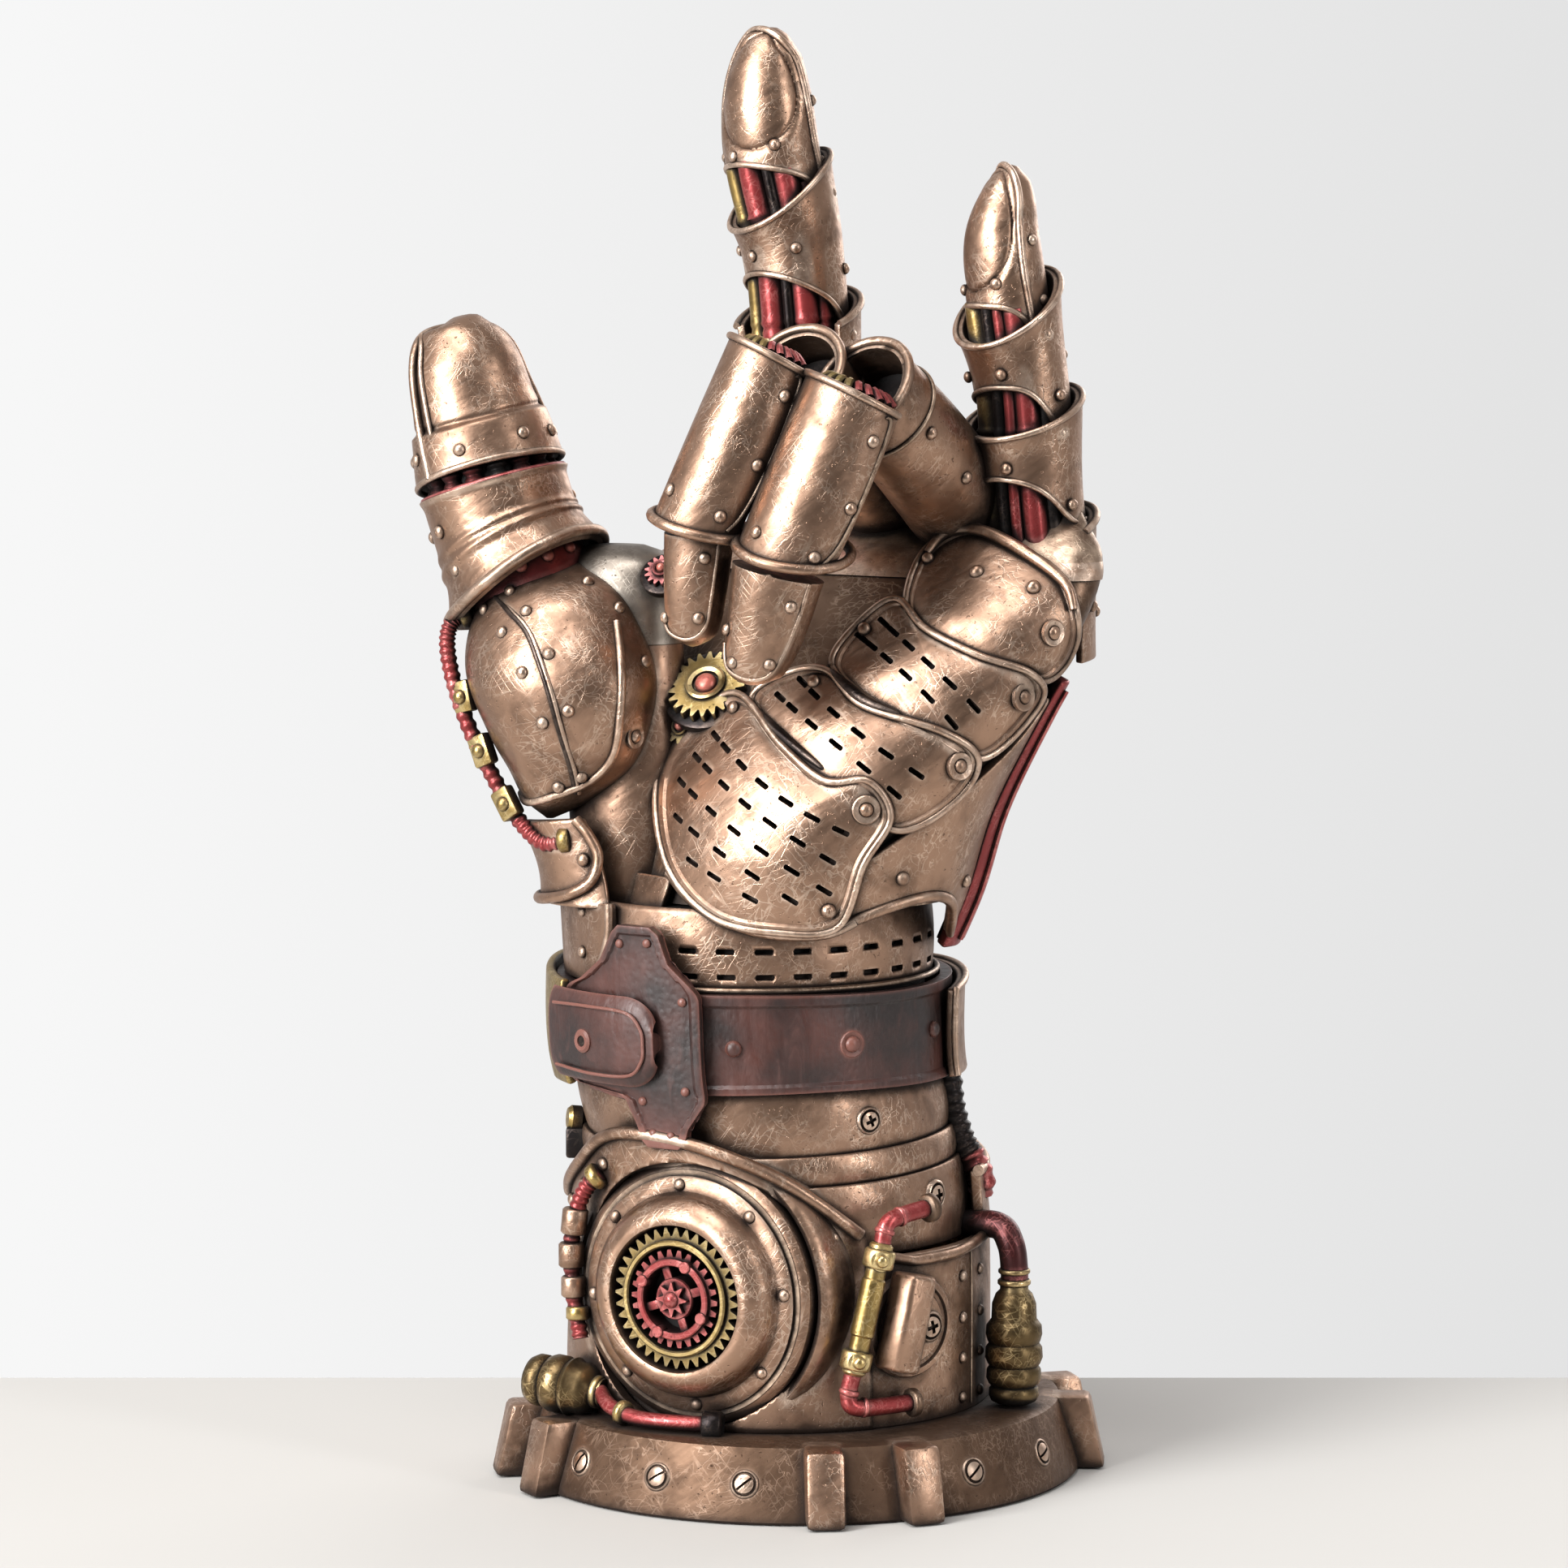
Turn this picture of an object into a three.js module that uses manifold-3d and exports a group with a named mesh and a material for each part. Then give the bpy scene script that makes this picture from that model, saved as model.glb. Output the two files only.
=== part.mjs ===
// Armoured gauntlet statuette: a cast left hand in plate armour, standing on a gear-shaped base.
// Units are millimetres and +Z is up. The origin is the middle of the base's underside, and the
// palm faces -Y, turned a little to -X. Nothing moves: every plate, tube and gear is cast in place.
import * as THREE from 'three';
import Module from 'manifold-3d';
import { mergeVertices } from 'three/addons/utils/BufferGeometryUtils.js';

const wasm = await Module();
wasm.setup();

// ---------------------------------------------------------------- driving dimensions

const GAP = 0.3;                 // room left between neighbouring castings
const TOTAL_HEIGHT = 234.6;      // underside of the base to the tip of the index finger

const BASE_HEIGHT = 12;
const BASE_FOOT_RADIUS = 46.3;
const BASE_TOP_RADIUS = 42.6;
const TOOTH_REACH = 50.6;        // radius over the teeth at the foot
const TOOTH_WIDTH = 6.2;
const TOOTH_PAIRS = [-69.5, 14.5, 95.5, 190];   // middle of each pair, degrees from the front
const TOOTH_SPREAD = 19;         // degrees between the two teeth of a pair

const CUFF_RADIUS = 34.6;
const CUFF_WALL = 2;
const WRIST_RADIUS = 29.5;
const STRAP_BOTTOM = 66;
const STRAP_TOP = 81.6;
const STRAP_RADIUS = 32;
const LEATHER = 2;
const CORE_TOP = 95.3;           // the forearm core ends inside the heel of the hand

const DIAL_CENTRE = [-16.6, -28, 33.6];
const DIAL_FACING = -30;
const DIAL_RADIUS = 21.3;

const PALM_FACING = -36;
const PLATE = 1.5;               // thickness of the armour plates

// Spines of the limbs: rows of x, y, z, half width across, half depth.
const ARM_SPINE = [[-3, 0, 10, 0, 0], [-3.2, 0, 40, 0, 0], [-4.8, 0, 58, 0, 0], [-6.6, 0, 68, 0, 0],
  [-7.2, 0, 80, 0, 0], [-7.8, 0, 97, 0, 0]];
const PALM_SPINE = [[-5.5, -1, 84, 28.5, 27], [-1.5, -4, 96, 30, 26], [2, -6, 110, 31.5, 24],
  [6.5, -5, 125, 36, 20.5], [9.5, 0, 140, 44, 17], [13, 3, 149, 44, 13.5], [20, 2, 158, 34, 9]];
const GUARD_SPINE = [[-28, -6, 92, 12, 13], [-29.5, -6, 100, 12.3, 13], [-33, -6, 108, 12.4, 12],
  [-36.5, -6, 116, 11.5, 11]];
const THENAR_SPINE = [[-40, -9, 107.6, 0.6, 0.6], [-38.4, -9.6, 110.6, 5.4, 6],
  [-36.6, -10.2, 115.6, 10.4, 9],
  [-36.8, -10.6, 121, 13.4, 11.4], [-38.1, -10.2, 131, 16.2, 13], [-39, -8, 140, 14.2, 11],
  [-38.8, -5.6, 145.6, 10.4, 8.4], [-37, -4, 150, 0.6, 0.6]];
const THUMB_SPINE = [[-40, -3, 128, 13, 12.5], [-42.6, -2, 142, 12.4, 12.2],
  [-47, -1, 153.5, 11.8, 11.2], [-49.6, 0, 162, 11.7, 11], [-51, 0.6, 168, 11, 10.2],
  [-52.6, 1.4, 174, 10, 9.2], [-54, 2, 180.5, 8.9, 8.4],
  [-55.2, 2.4, 185, 6.6, 6.2], [-56.1, 2.6, 187.6, 0.6, 0.6]];
const INDEX_SPINE = [[3.5, 14, 158, 7.6, 7.6], [0.9, 14, 180, 7.6, 7.6], [-1.2, 14.2, 200, 7.4, 7.2],
  [-4.2, 14.2, 214, 7.6, 6.8], [-5, 14, 224, 6.9, 6.2], [-4.6, 13.6, 231, 4.8, 4.4],
  [-4, 13.2, TOTAL_HEIGHT, 0.6, 0.6]];
const PINKY_SPINE = [[39.6, -11, 131, 6, 8], [38.4, -12, 146, 7, 7.4], [36.8, -13, 160, 7, 7],
  [35.6, -13.5, 176, 6.6, 6.6], [33.4, -13.8, 190, 6.4, 6], [32.3, -14, 200, 6, 5.4],
  [33.2, -13.8, 207.4, 4.2, 4], [34.4, -13.6, 212.2, 0.6, 0.6]];
const MIDDLE_ROOT_SPINE = [[17, 6, 156, 8.3, 8.3], [8, -10, 169, 8.2, 8.2], [-0.5, -24, 180, 8, 8]];
const MIDDLE_SPINE = [[-16.2, -30, 154.5, 7, 6.3], [-9.8, -31, 168.5, 7.4, 7],
  [-3.4, -29.5, 183.5, 7.2, 6.8]];
const MIDDLE_TIP_SPINE = [[-16.8, -27.5, 137.2, 0.6, 0.6], [-16.6, -28, 139.5, 4, 3.8],
  [-16.2, -29, 146, 5, 4.6], [-15.6, -29.5, 154.6, 5.6, 5]];
const RING_ROOT_SPINE = [[29, -4, 154, 8.6, 8.6], [19.5, -17.5, 167, 8.5, 8.5],
  [10, -30, 178, 8.3, 8.3]];
const RING_SPINE = [[-2.4, -36, 149.5, 7.8, 6.5], [3.4, -36.5, 163, 8.3, 7], [9.6, -35, 178, 8.2, 7]];
const RING_TIP_SPINE = [[-7.6, -33, 131.5, 0.6, 0.6], [-7.2, -33.5, 134, 4.8, 4],
  [-5.2, -34.5, 140, 6.2, 5], [-3.2, -35.5, 149.2, 7.4, 5.8]];

// Armour plates of the palm: outlines of x, z seen from the front, laid over the palm's skin.
const PALM_PLATE_LOW = [[-22.8, 112], [-20, 121], [-10.3, 128.6], [-3, 121.6], [4, 116.2], [11, 116.2],
  [14.4, 110.5], [10.2, 103], [6.2, 92.9], [-3.5, 92], [-13.5, 94], [-20.6, 101]];
const PALM_PLATE_MIDDLE = [[-7.5, 127.5], [-2, 132], [4.4, 132.8], [10, 127.8], [22.6, 123.9],
  [28.2, 119.4], [25, 113], [15.9, 108.3], [6, 114], [-2, 119.5]];
const PALM_PLATE_HIGH = [[5.3, 133.6], [9, 139.5], [15.3, 143.9], [20, 139.6], [28, 135.8],
  [36.6, 132.8], [38.2, 128], [29.4, 119.5], [20, 123.5], [11, 128.5]];
const KNUCKLE_PLATE = [[17, 143], [20, 151], [27, 154.8], [35.6, 151.8], [42, 147], [44, 138],
  [39.5, 131.5], [30, 134], [20, 138.5]];

// ---------------------------------------------------------------- finishes

const finish = (name, color, roughness, metalness) =>
  Object.assign(new THREE.MeshStandardMaterial({ color, roughness, metalness }), { name });
const BRONZE = finish('antique_bronze', 0x8a6f55, 0.45, 0.85);
const GOLD = finish('aged_gold', 0xa88f4e, 0.45, 0.85);
const RED = finish('red_metal', 0x9c3a3c, 0.4, 0.7);
const LEATHER_BROWN = finish('brown_leather', 0x4c2a26, 0.6, 0);
const BLACK = finish('black_metal', 0x1d1a1a, 0.45, 0.6);

// ---------------------------------------------------------------- curves and limbs

const radians = THREE.MathUtils.degToRad;
const mix = THREE.MathUtils.lerp;
const cosine = (degrees) => Math.cos(radians(degrees));
const sine = (degrees) => Math.sin(radians(degrees));

/** Smooth values at a key, through rows whose own key is in the given column. */
function through(rows, key, column) {
  let i = 0;
  while (i < rows.length - 2 && key > rows[i + 1][column]) i += 1;
  const slope = (k, c) => {
    const [a, b] = [rows[Math.max(k - 1, 0)], rows[Math.min(k + 1, rows.length - 1)]];
    return (b[c] - a[c]) / (b[column] - a[column]);
  };
  const [low, high] = [rows[i], rows[i + 1]];
  const span = high[column] - low[column];
  const t = THREE.MathUtils.clamp((key - low[column]) / span, 0, 1);
  return low.map((value, c) => {
    const rise = span * (t * (1 - t) * (1 - t) * slope(i, c) - t * t * (1 - t) * slope(i + 1, c));
    return mix(value, high[c], t * t * (3 - 2 * t)) + rise;
  });
}

/** A spine with an oval section that faces one way. Heights are the spine's own z. */
class Limb {
  constructor(facing, spine, level = false) {
    Object.assign(this, { facing, spine, level });
  }

  centre(height) {
    const [x, y, z] = through(this.spine, height, 2);
    return new THREE.Vector3(x, y, z);
  }

  /** The surface point at a height and a turn in degrees, from the front round to the right. */
  at(height, turn, off = 0) {
    const [x, y, z, across, deep] = through(this.spine, height, 2);
    const step = 0.5;
    const along = this.level ? new THREE.Vector3(0, 0, 1)
      : this.centre(height + step).sub(this.centre(height - step)).normalize();
    const front = new THREE.Vector3(sine(this.facing), -cosine(this.facing), 0);
    front.addScaledVector(along, -front.dot(along)).normalize();
    const side = new THREE.Vector3().crossVectors(along, front);
    return new THREE.Vector3(x, y, z)
      .addScaledVector(front, cosine(turn) * (deep + off))
      .addScaledVector(side, sine(turn) * (across + off));
  }

  /** The point of a level limb's front that shows at x, z when seen from the front. */
  front(x, z, off = 0) {
    const [cx, , , across, deep] = through(this.spine, z, 2);
    const a = sine(this.facing) * (deep + off);
    const b = cosine(this.facing) * (across + off);
    const reach = THREE.MathUtils.clamp((x - cx) / Math.hypot(a, b), -1, 1);
    const turn = THREE.MathUtils.radToDeg(Math.atan2(b, a) - Math.acos(reach));
    return this.at(z, turn, off);
  }
}

const arm = new Limb(0, ARM_SPINE, true);
const palm = new Limb(PALM_FACING, PALM_SPINE, true);
const guard = new Limb(-30, GUARD_SPINE, true);
const thenar = new Limb(-30, THENAR_SPINE, true);
const thumb = new Limb(12, THUMB_SPINE);
const index = new Limb(-22, INDEX_SPINE);
const pinky = new Limb(-38, PINKY_SPINE);
const middleRoot = new Limb(-30, MIDDLE_ROOT_SPINE);
const middle = new Limb(-20, MIDDLE_SPINE);
const middleTip = new Limb(-20, MIDDLE_TIP_SPINE);
const ringRoot = new Limb(-30, RING_ROOT_SPINE);
const ring = new Limb(-12, RING_SPINE);
const ringTip = new Limb(-12, RING_TIP_SPINE);

// ---------------------------------------------------------------- closed solids

/** A library solid from points and triangles, turned right side out. */
function solidOf(points, triangles) {
  let volume = 0;
  for (const [a, b, c] of triangles) {
    volume += points[a].dot(new THREE.Vector3().crossVectors(points[b], points[c]));
  }
  const faces = volume < 0 ? triangles.map(([a, b, c]) => [a, c, b]) : triangles;
  return new wasm.Manifold(new wasm.Mesh({
    numProp: 3,
    vertProperties: new Float32Array(points.flatMap((p) => p.toArray())),
    triVerts: new Uint32Array(faces.flat()),
  }));
}

/** A library solid from a closed three.js geometry. */
function solidFrom(geometry) {
  const bare = geometry.clone();
  bare.deleteAttribute('normal');
  bare.deleteAttribute('uv');
  const merged = mergeVertices(bare, 1e-4);
  const points = [];
  for (let i = 0; i < merged.attributes.position.count; i += 1) {
    points.push(new THREE.Vector3().fromBufferAttribute(merged.attributes.position, i));
  }
  const triangles = [];
  for (let i = 0; i < merged.index.count; i += 3) {
    const face = [merged.index.getX(i), merged.index.getX(i + 1), merged.index.getX(i + 2)];
    if (new Set(face).size === 3) triangles.push(face);
  }
  return solidOf(points, triangles);
}

/** A solid through closed rings of points, with a fan over each end. */
function lofted(rings) {
  const sides = rings[0].length;
  const points = rings.flat();
  const triangles = [];
  for (let r = 0; r < rings.length - 1; r += 1) {
    for (let k = 0; k < sides; k += 1) {
      const [a, b] = [r * sides + k, r * sides + (k + 1) % sides];
      triangles.push([a, b, b + sides], [a, b + sides, a + sides]);
    }
  }
  for (const [start, turned] of [[0, true], [(rings.length - 1) * sides, false]]) {
    const hub = points.length;
    const middlePoint = new THREE.Vector3();
    for (let k = 0; k < sides; k += 1) middlePoint.addScaledVector(points[start + k], 1 / sides);
    points.push(middlePoint);
    for (let k = 0; k < sides; k += 1) {
      const [a, b] = [start + k, start + (k + 1) % sides];
      triangles.push(turned ? [b, a, hub] : [a, b, hub]);
    }
  }
  return solidOf(points, triangles);
}

/** A wall over a grid of places: surface(u, v, w), u and v along it and w from inside to outside. */
function walled(columns, rows, surface, wrapped = false) {
  const across = wrapped ? columns : columns + 1;
  const points = [];
  for (let w = 0; w < 2; w += 1) {
    for (let v = 0; v <= rows; v += 1) {
      for (let u = 0; u < across; u += 1) points.push(surface(u / columns, v / rows, w));
    }
  }
  const place = (u, v, w) => w * across * (rows + 1) + v * across + (u % across);
  const triangles = [];
  const quad = (a, b, c, d) => triangles.push([a, b, c], [a, c, d]);
  for (let u = 0; u < columns; u += 1) {
    for (let v = 0; v < rows; v += 1) {
      quad(place(u, v, 1), place(u + 1, v, 1), place(u + 1, v + 1, 1), place(u, v + 1, 1));
      quad(place(u, v, 0), place(u, v + 1, 0), place(u + 1, v + 1, 0), place(u + 1, v, 0));
    }
    quad(place(u, 0, 0), place(u + 1, 0, 0), place(u + 1, 0, 1), place(u, 0, 1));
    quad(place(u, rows, 1), place(u + 1, rows, 1), place(u + 1, rows, 0), place(u, rows, 0));
  }
  for (let v = 0; v < rows && !wrapped; v += 1) {
    quad(place(0, v, 1), place(0, v + 1, 1), place(0, v + 1, 0), place(0, v, 0));
    quad(place(columns, v, 0), place(columns, v + 1, 0), place(columns, v + 1, 1),
      place(columns, v, 1));
  }
  return solidOf(points, triangles);
}

/** A solid stretch of a limb between two edges, each a height or a function of the turn. */
function stump(limb, bottom, top, off, { sides = 16, steps = 3 } = {}) {
  const edge = (value, turn) => (typeof value === 'function' ? value(turn) : value);
  const rings = [];
  for (let s = 0; s <= steps; s += 1) {
    rings.push(Array.from({ length: sides }, (_, k) => {
      const turn = (360 * k) / sides;
      return limb.at(mix(edge(bottom, turn), edge(top, turn), s / steps), turn, off);
    }));
  }
  return lofted(rings);
}

/** A plate bent round a limb, between two edges and two turns, or all the way round. */
function sleeve(limb, bottom, top, inner, outer, { turns = null, columns = 18, rows = 2 } = {}) {
  const [from, to] = turns ?? [0, 360];
  const edge = (value, turn) => (typeof value === 'function' ? value(turn) : value);
  return walled(columns, rows, (u, v, w) => {
    const turn = mix(from, to, u);
    return limb.at(mix(edge(bottom, turn), edge(top, turn), v),
      turn, w ? edge(outer, v) : edge(inner, v));
  }, turns === null);
}

/** A domed plate over a limb's front, inside a smooth closed outline of x, z. */
function shield(limb, outline, inner, outer, bulge, { sides = 22, rings = 2 } = {}) {
  const curve = new THREE.CatmullRomCurve3(outline.map(([x, z]) => new THREE.Vector3(x, 0, z)), true);
  const edge = curve.getSpacedPoints(sides).slice(0, sides);
  const hub = new THREE.Vector3();
  edge.forEach((p) => hub.addScaledVector(p, 1 / sides));
  const sheet = (off) => {
    const loops = [];
    for (let r = 1; r <= rings; r += 1) {
      const share = r / rings;
      loops.push(edge.map((p) => {
        const at = hub.clone().lerp(p, share);
        return limb.front(at.x, at.z, off + bulge * (1 - share * share));
      }));
    }
    return loops;
  };
  const centre = (off) => [limb.front(hub.x, hub.z, off + bulge)];
  const [under, over] = [sheet(inner), sheet(outer)];
  const points = [centre(inner), ...under, centre(outer), ...over].flat();
  const size = 1 + rings * sides;
  const triangles = [];
  for (const base of [0, size]) {
    for (let k = 0; k < sides; k += 1) {
      const next = (k + 1) % sides;
      const face = [base, base + 1 + k, base + 1 + next];
      triangles.push(base ? face : face.reverse());
      for (let r = 1; r < rings; r += 1) {
        const [a, b] = [base + 1 + (r - 1) * sides + k, base + 1 + (r - 1) * sides + next];
        const [c, d] = [a + sides, b + sides];
        triangles.push(...(base ? [[a, c, d], [a, d, b]] : [[a, d, c], [a, b, d]]));
      }
    }
  }
  const rim = 1 + (rings - 1) * sides;
  for (let k = 0; k < sides; k += 1) {
    const [a, b] = [rim + k, rim + (k + 1) % sides];
    triangles.push([a, b + size, a + size], [a, b, b + size]);
  }
  return solidOf(points, triangles);
}

/** A round bar along a smooth route. */
function bar(route, radius, steps, sides = 8) {
  const section = new THREE.Shape().absarc(0, 0, radius, 0, 2 * Math.PI);
  const path = new THREE.CatmullRomCurve3(route.map((p) => new THREE.Vector3(...p)));
  const shape = new THREE.Shape(section.getSpacedPoints(sides).slice(0, sides));
  return solidFrom(new THREE.ExtrudeGeometry(shape, { steps, extrudePath: path, bevelEnabled: false }));
}

/** A turned piece: a profile of radius, height pairs, closed on the axis or on itself. */
function turned(profile, sides = 32) {
  return solidFrom(new THREE.LatheGeometry(profile.map(([r, h]) => new THREE.Vector2(r, h)), sides)
    .rotateX(Math.PI / 2));
}

/** A flat toothed wheel with its back at z = 0, a round bore and square-ended teeth. */
function toothed({ teeth, tip, root, bore, thick }) {
  const shape = new THREE.Shape();
  const pitch = (2 * Math.PI) / teeth;
  for (let k = 0; k < teeth; k += 1) {
    for (const [share, radius] of [[0, root], [0.36, tip], [0.64, tip]]) {
      const angle = pitch * (k + share);
      const [x, y] = [radius * Math.cos(angle), radius * Math.sin(angle)];
      if (k === 0 && share === 0) shape.moveTo(x, y);
      else shape.lineTo(x, y);
    }
  }
  if (bore) shape.holes.push(new THREE.Path().absarc(0, 0, bore, 0, 2 * Math.PI, true));
  return solidFrom(new THREE.ExtrudeGeometry(shape, { depth: thick, bevelEnabled: false,
    curveSegments: 12 }));
}

/** The placing of a piece whose own +Z looks out along a facing, raised by a tilt. */
function looking([x, y, z], facing, tilt = 0) {
  const out = new THREE.Vector3(sine(facing) * cosine(tilt), -cosine(facing) * cosine(tilt),
    sine(tilt));
  const right = new THREE.Vector3(cosine(facing), sine(facing), 0);
  const up = new THREE.Vector3().crossVectors(out, right);
  return new THREE.Matrix4().makeBasis(right, up, out).setPosition(x, y, z);
}

const moved = (solid, matrix) => solid.transform(matrix.elements);

// ---------------------------------------------------------------- fitting and naming

const gauntlet = new THREE.Group();
gauntlet.name = 'armoured_gauntlet';
const fitted = [];

/** The solid swollen all round, for testing and cutting its neighbours. */
function swollen(solid, by) {
  const mesh = solid.getMesh();
  const normals = new THREE.BufferGeometry();
  normals.setAttribute('position', new THREE.BufferAttribute(mesh.vertProperties.slice(),
    mesh.numProp));
  normals.setIndex(new THREE.BufferAttribute(mesh.triVerts, 1));
  normals.computeVertexNormals();
  const { position, normal } = normals.attributes;
  const points = [];
  for (let i = 0; i < position.count; i += 1) {
    const n = new THREE.Vector3().fromBufferAttribute(normal, i);
    points.push(new THREE.Vector3().fromBufferAttribute(position, i).addScaledVector(n, by));
  }
  const triangles = [];
  for (let i = 0; i < mesh.triVerts.length; i += 3) triangles.push([...mesh.triVerts.slice(i, i + 3)]);
  return solidOf(points, triangles);
}

function boxesMeet(a, b) {
  return [0, 1, 2].every((k) => a.min[k] < b.max[k] + GAP && b.min[k] < a.max[k] + GAP);
}

/** Cuts a piece clear of all that went in before it, keeps its main body and adds its mesh. */
function add(name, solid, material) {
  let body = solid;
  for (const other of fitted) {
    if (!boxesMeet(body.boundingBox(), other.box)) continue;
    if (body.intersect(other.near).isEmpty()) continue;
    body = body.subtract(other.cleared).subtract(other.solid);
  }
  const parts = body.decompose();
  body = parts.reduce((best, part) => (part.volume() > best.volume() ? part : best));
  const mesh = body.getMesh();
  const geometry = new THREE.BufferGeometry();
  geometry.setAttribute('position', new THREE.BufferAttribute(mesh.vertProperties, mesh.numProp));
  geometry.setIndex(new THREE.BufferAttribute(mesh.triVerts, 1));
  const piece = new THREE.Mesh(geometry, material);
  piece.name = name;
  gauntlet.add(piece);
  fitted.push({
    solid: body,
    near: swollen(body, GAP / 2),
    cleared: swollen(solid, GAP * 1.5),
    box: body.boundingBox(),
  });
}

// ---------------------------------------------------------------- the base

function gearBase() {
  const disc = turned([[0, 0], [BASE_FOOT_RADIUS, 0], [BASE_FOOT_RADIUS, 1],
    [BASE_TOP_RADIUS + 0.6, 10.8],
    [BASE_TOP_RADIUS - 0.6, BASE_HEIGHT], [0, BASE_HEIGHT]], 40);
  const side = new THREE.Shape([[39, 0], [TOOTH_REACH, 0], [TOOTH_REACH - 0.2, 2],
    [TOOTH_REACH - 1.6, 10],
    [TOOTH_REACH - 3.4, 12], [39, 12]].map(([r, h]) => new THREE.Vector2(r, h)));
  const tooth = new THREE.ExtrudeGeometry(side, { depth: TOOTH_WIDTH, bevelEnabled: false });
  tooth.translate(0, 0, -TOOTH_WIDTH / 2).rotateX(Math.PI / 2);
  let base = disc;
  for (const pair of TOOTH_PAIRS) {
    for (const turn of [pair - TOOTH_SPREAD / 2, pair + TOOTH_SPREAD / 2]) {
      base = base.add(solidFrom(tooth.clone().rotateZ(radians(turn - 90))));
    }
  }
  return base;
}
add('gear_base', gearBase(), BRONZE);

// ---------------------------------------------------------------- the dial on the cuff

const dialFrame = looking(DIAL_CENTRE, DIAL_FACING);
/** The round room in the cuff that the dial stands in. */
const wellRadius = DIAL_RADIUS + GAP;
const dialWell = moved(turned([[0, -4 - GAP], [wellRadius, -4 - GAP], [wellRadius, 9], [0, 9]], 32),
  dialFrame);
add('dial_boss', moved(turned([[0, -4], [DIAL_RADIUS - 0.6, -4], [DIAL_RADIUS, -0.4],
  [DIAL_RADIUS - 0.6, 0.8],
  [0, 0.8]], 32), dialFrame), BRONZE);
add('dial_ring', moved(turned([[11.9, 1.1], [18.9, 1.1], [18.9, 1.7], [16.2, 2], [15.8, 4.2],
  [13.4, 6.4],
  [11.9, 6.6], [11.9, 1.1]], 28), dialFrame), BRONZE);
const hubFrame = dialFrame.clone().multiply(new THREE.Matrix4().makeTranslation(0, 0, 1.1));
const gearLift = new THREE.Matrix4().makeTranslation(0, 0, 3.3);
const goldWheel = turned([[8.4, 0], [9.6, 0], [9.6, 4], [8.4, 4], [8.4, 0]], 28)
  .add(moved(toothed({ teeth: 36, tip: 11.5, root: 9.7, bore: 8.4, thick: 2.2 }), gearLift));
add('dial_gear_gold', moved(goldWheel, hubFrame), GOLD);
const redWheel = turned([[0, 0], [6.9, 0], [6.9, 4], [0, 4]], 24)
  .add(moved(toothed({ teeth: 26, tip: 8, root: 6.9, bore: 0, thick: 3 }), gearLift));
add('dial_gear_red', moved(redWheel, hubFrame), RED);

// ---------------------------------------------------------------- tubes and fittings on the cuff

add('pipe_barrel', bar([[13.2, -36, 43.2], [11, -37, 32.3], [8.6, -37.8, 22.3]], 1.9, 4), GOLD);
add('pipe_upper', bar([[13.6, -35.6, 44], [14, -35, 46.2], [16.2, -33.6, 47], [21.2, -28.6, 47.6]],
  1.4, 8), RED);
add('pipe_lower', bar([[8.4, -37.8, 21.6], [7.9, -37.8, 18.6], [9.6, -37.4, 16.9],
  [18.6, -31.4, 16.6]], 1.4, 8), RED);

function relayBlock() {
  const hexagon = new THREE.Shape(Array.from({ length: 6 }, (_, k) =>
    new THREE.Vector2(3.7 * cosine(60 * k), 3 * sine(60 * k))));
  const block = new THREE.ExtrudeGeometry(hexagon, { depth: 16, bevelEnabled: false });
  block.translate(0, 0, -8).rotateY(radians(13)).rotateZ(radians(31));
  return moved(solidFrom(block), new THREE.Matrix4().makeTranslation(16.4, -31.2, 29.6));
}
add('relay_block', relayBlock(), BRONZE);
add('screw_plate', moved(turned([[0, -3], [8.4, -3], [8.4, 1], [7.2, 1.8], [0, 1.8]], 28),
  looking([17, -27.8, 28.4], 37)), BRONZE);

function canister() {
  const barrel = turned([[0, 0], [2.6, 0.1], [4.2, 1.8], [4.4, 14], [3.8, 16.6], [2.5, 17.4],
    [2.3, 20.6], [0, 20.6]], 16);
  const upright = moved(barrel, new THREE.Matrix4().makeTranslation(35, -13, BASE_HEIGHT + GAP));
  return upright.add(bar([[35, -13, 32], [34.6, -12.8, 36.5], [32.4, -10.6, 40], [27.5, -8, 40.8]],
    2.2, 8));
}
add('canister_right', canister(), BLACK);

function canisterLeft() {
  const barrel = turned([[0, -6], [2.4, -6], [4, -4.6], [4.4, 0], [4, 4.6], [2.4, 6], [0, 6]], 16);
  return moved(barrel, looking([-38, -18.2, 16.6], 62, -5));
}
add('canister_left', canisterLeft(), BLACK);
add('canister_left_pipe', bar([[-31.4, -23, 16.6], [-30, -26.6, 14.6], [-26, -30.4, 13.7],
  [-20.5, -33.4, 13.7],
  [-13.5, -35, 13.7]], 1.3, 10), RED);
add('cuff_hose', bar([[-32.6, -20.2, 51], [-35.2, -18.8, 47], [-36.4, -18, 39], [-36, -18.8, 30],
  [-35, -20.6, 24.6]], 1.25, 8), RED);
add('cuff_cable', bar([[24.4, -4, 65], [25, -4.4, 59], [26.6, -5.4, 54.6], [28.6, -5.4, 51],
  [29.4, -5, 47.6]], 2.2, 8), BLACK);

// ---------------------------------------------------------------- leather round the wrist

const plainStrap = [STRAP_RADIUS - LEATHER, STRAP_RADIUS];
add('strap_tongue', sleeve(arm, 66.6, 81.4, 34.7, 37, { turns: [-62, -26], columns: 6 }),
  LEATHER_BROWN);
add('strap_loop', sleeve(arm, 63.8, 82.8, 32.4, 34.2, { turns: [-110, -66], columns: 7 }), BRONZE);

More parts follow.
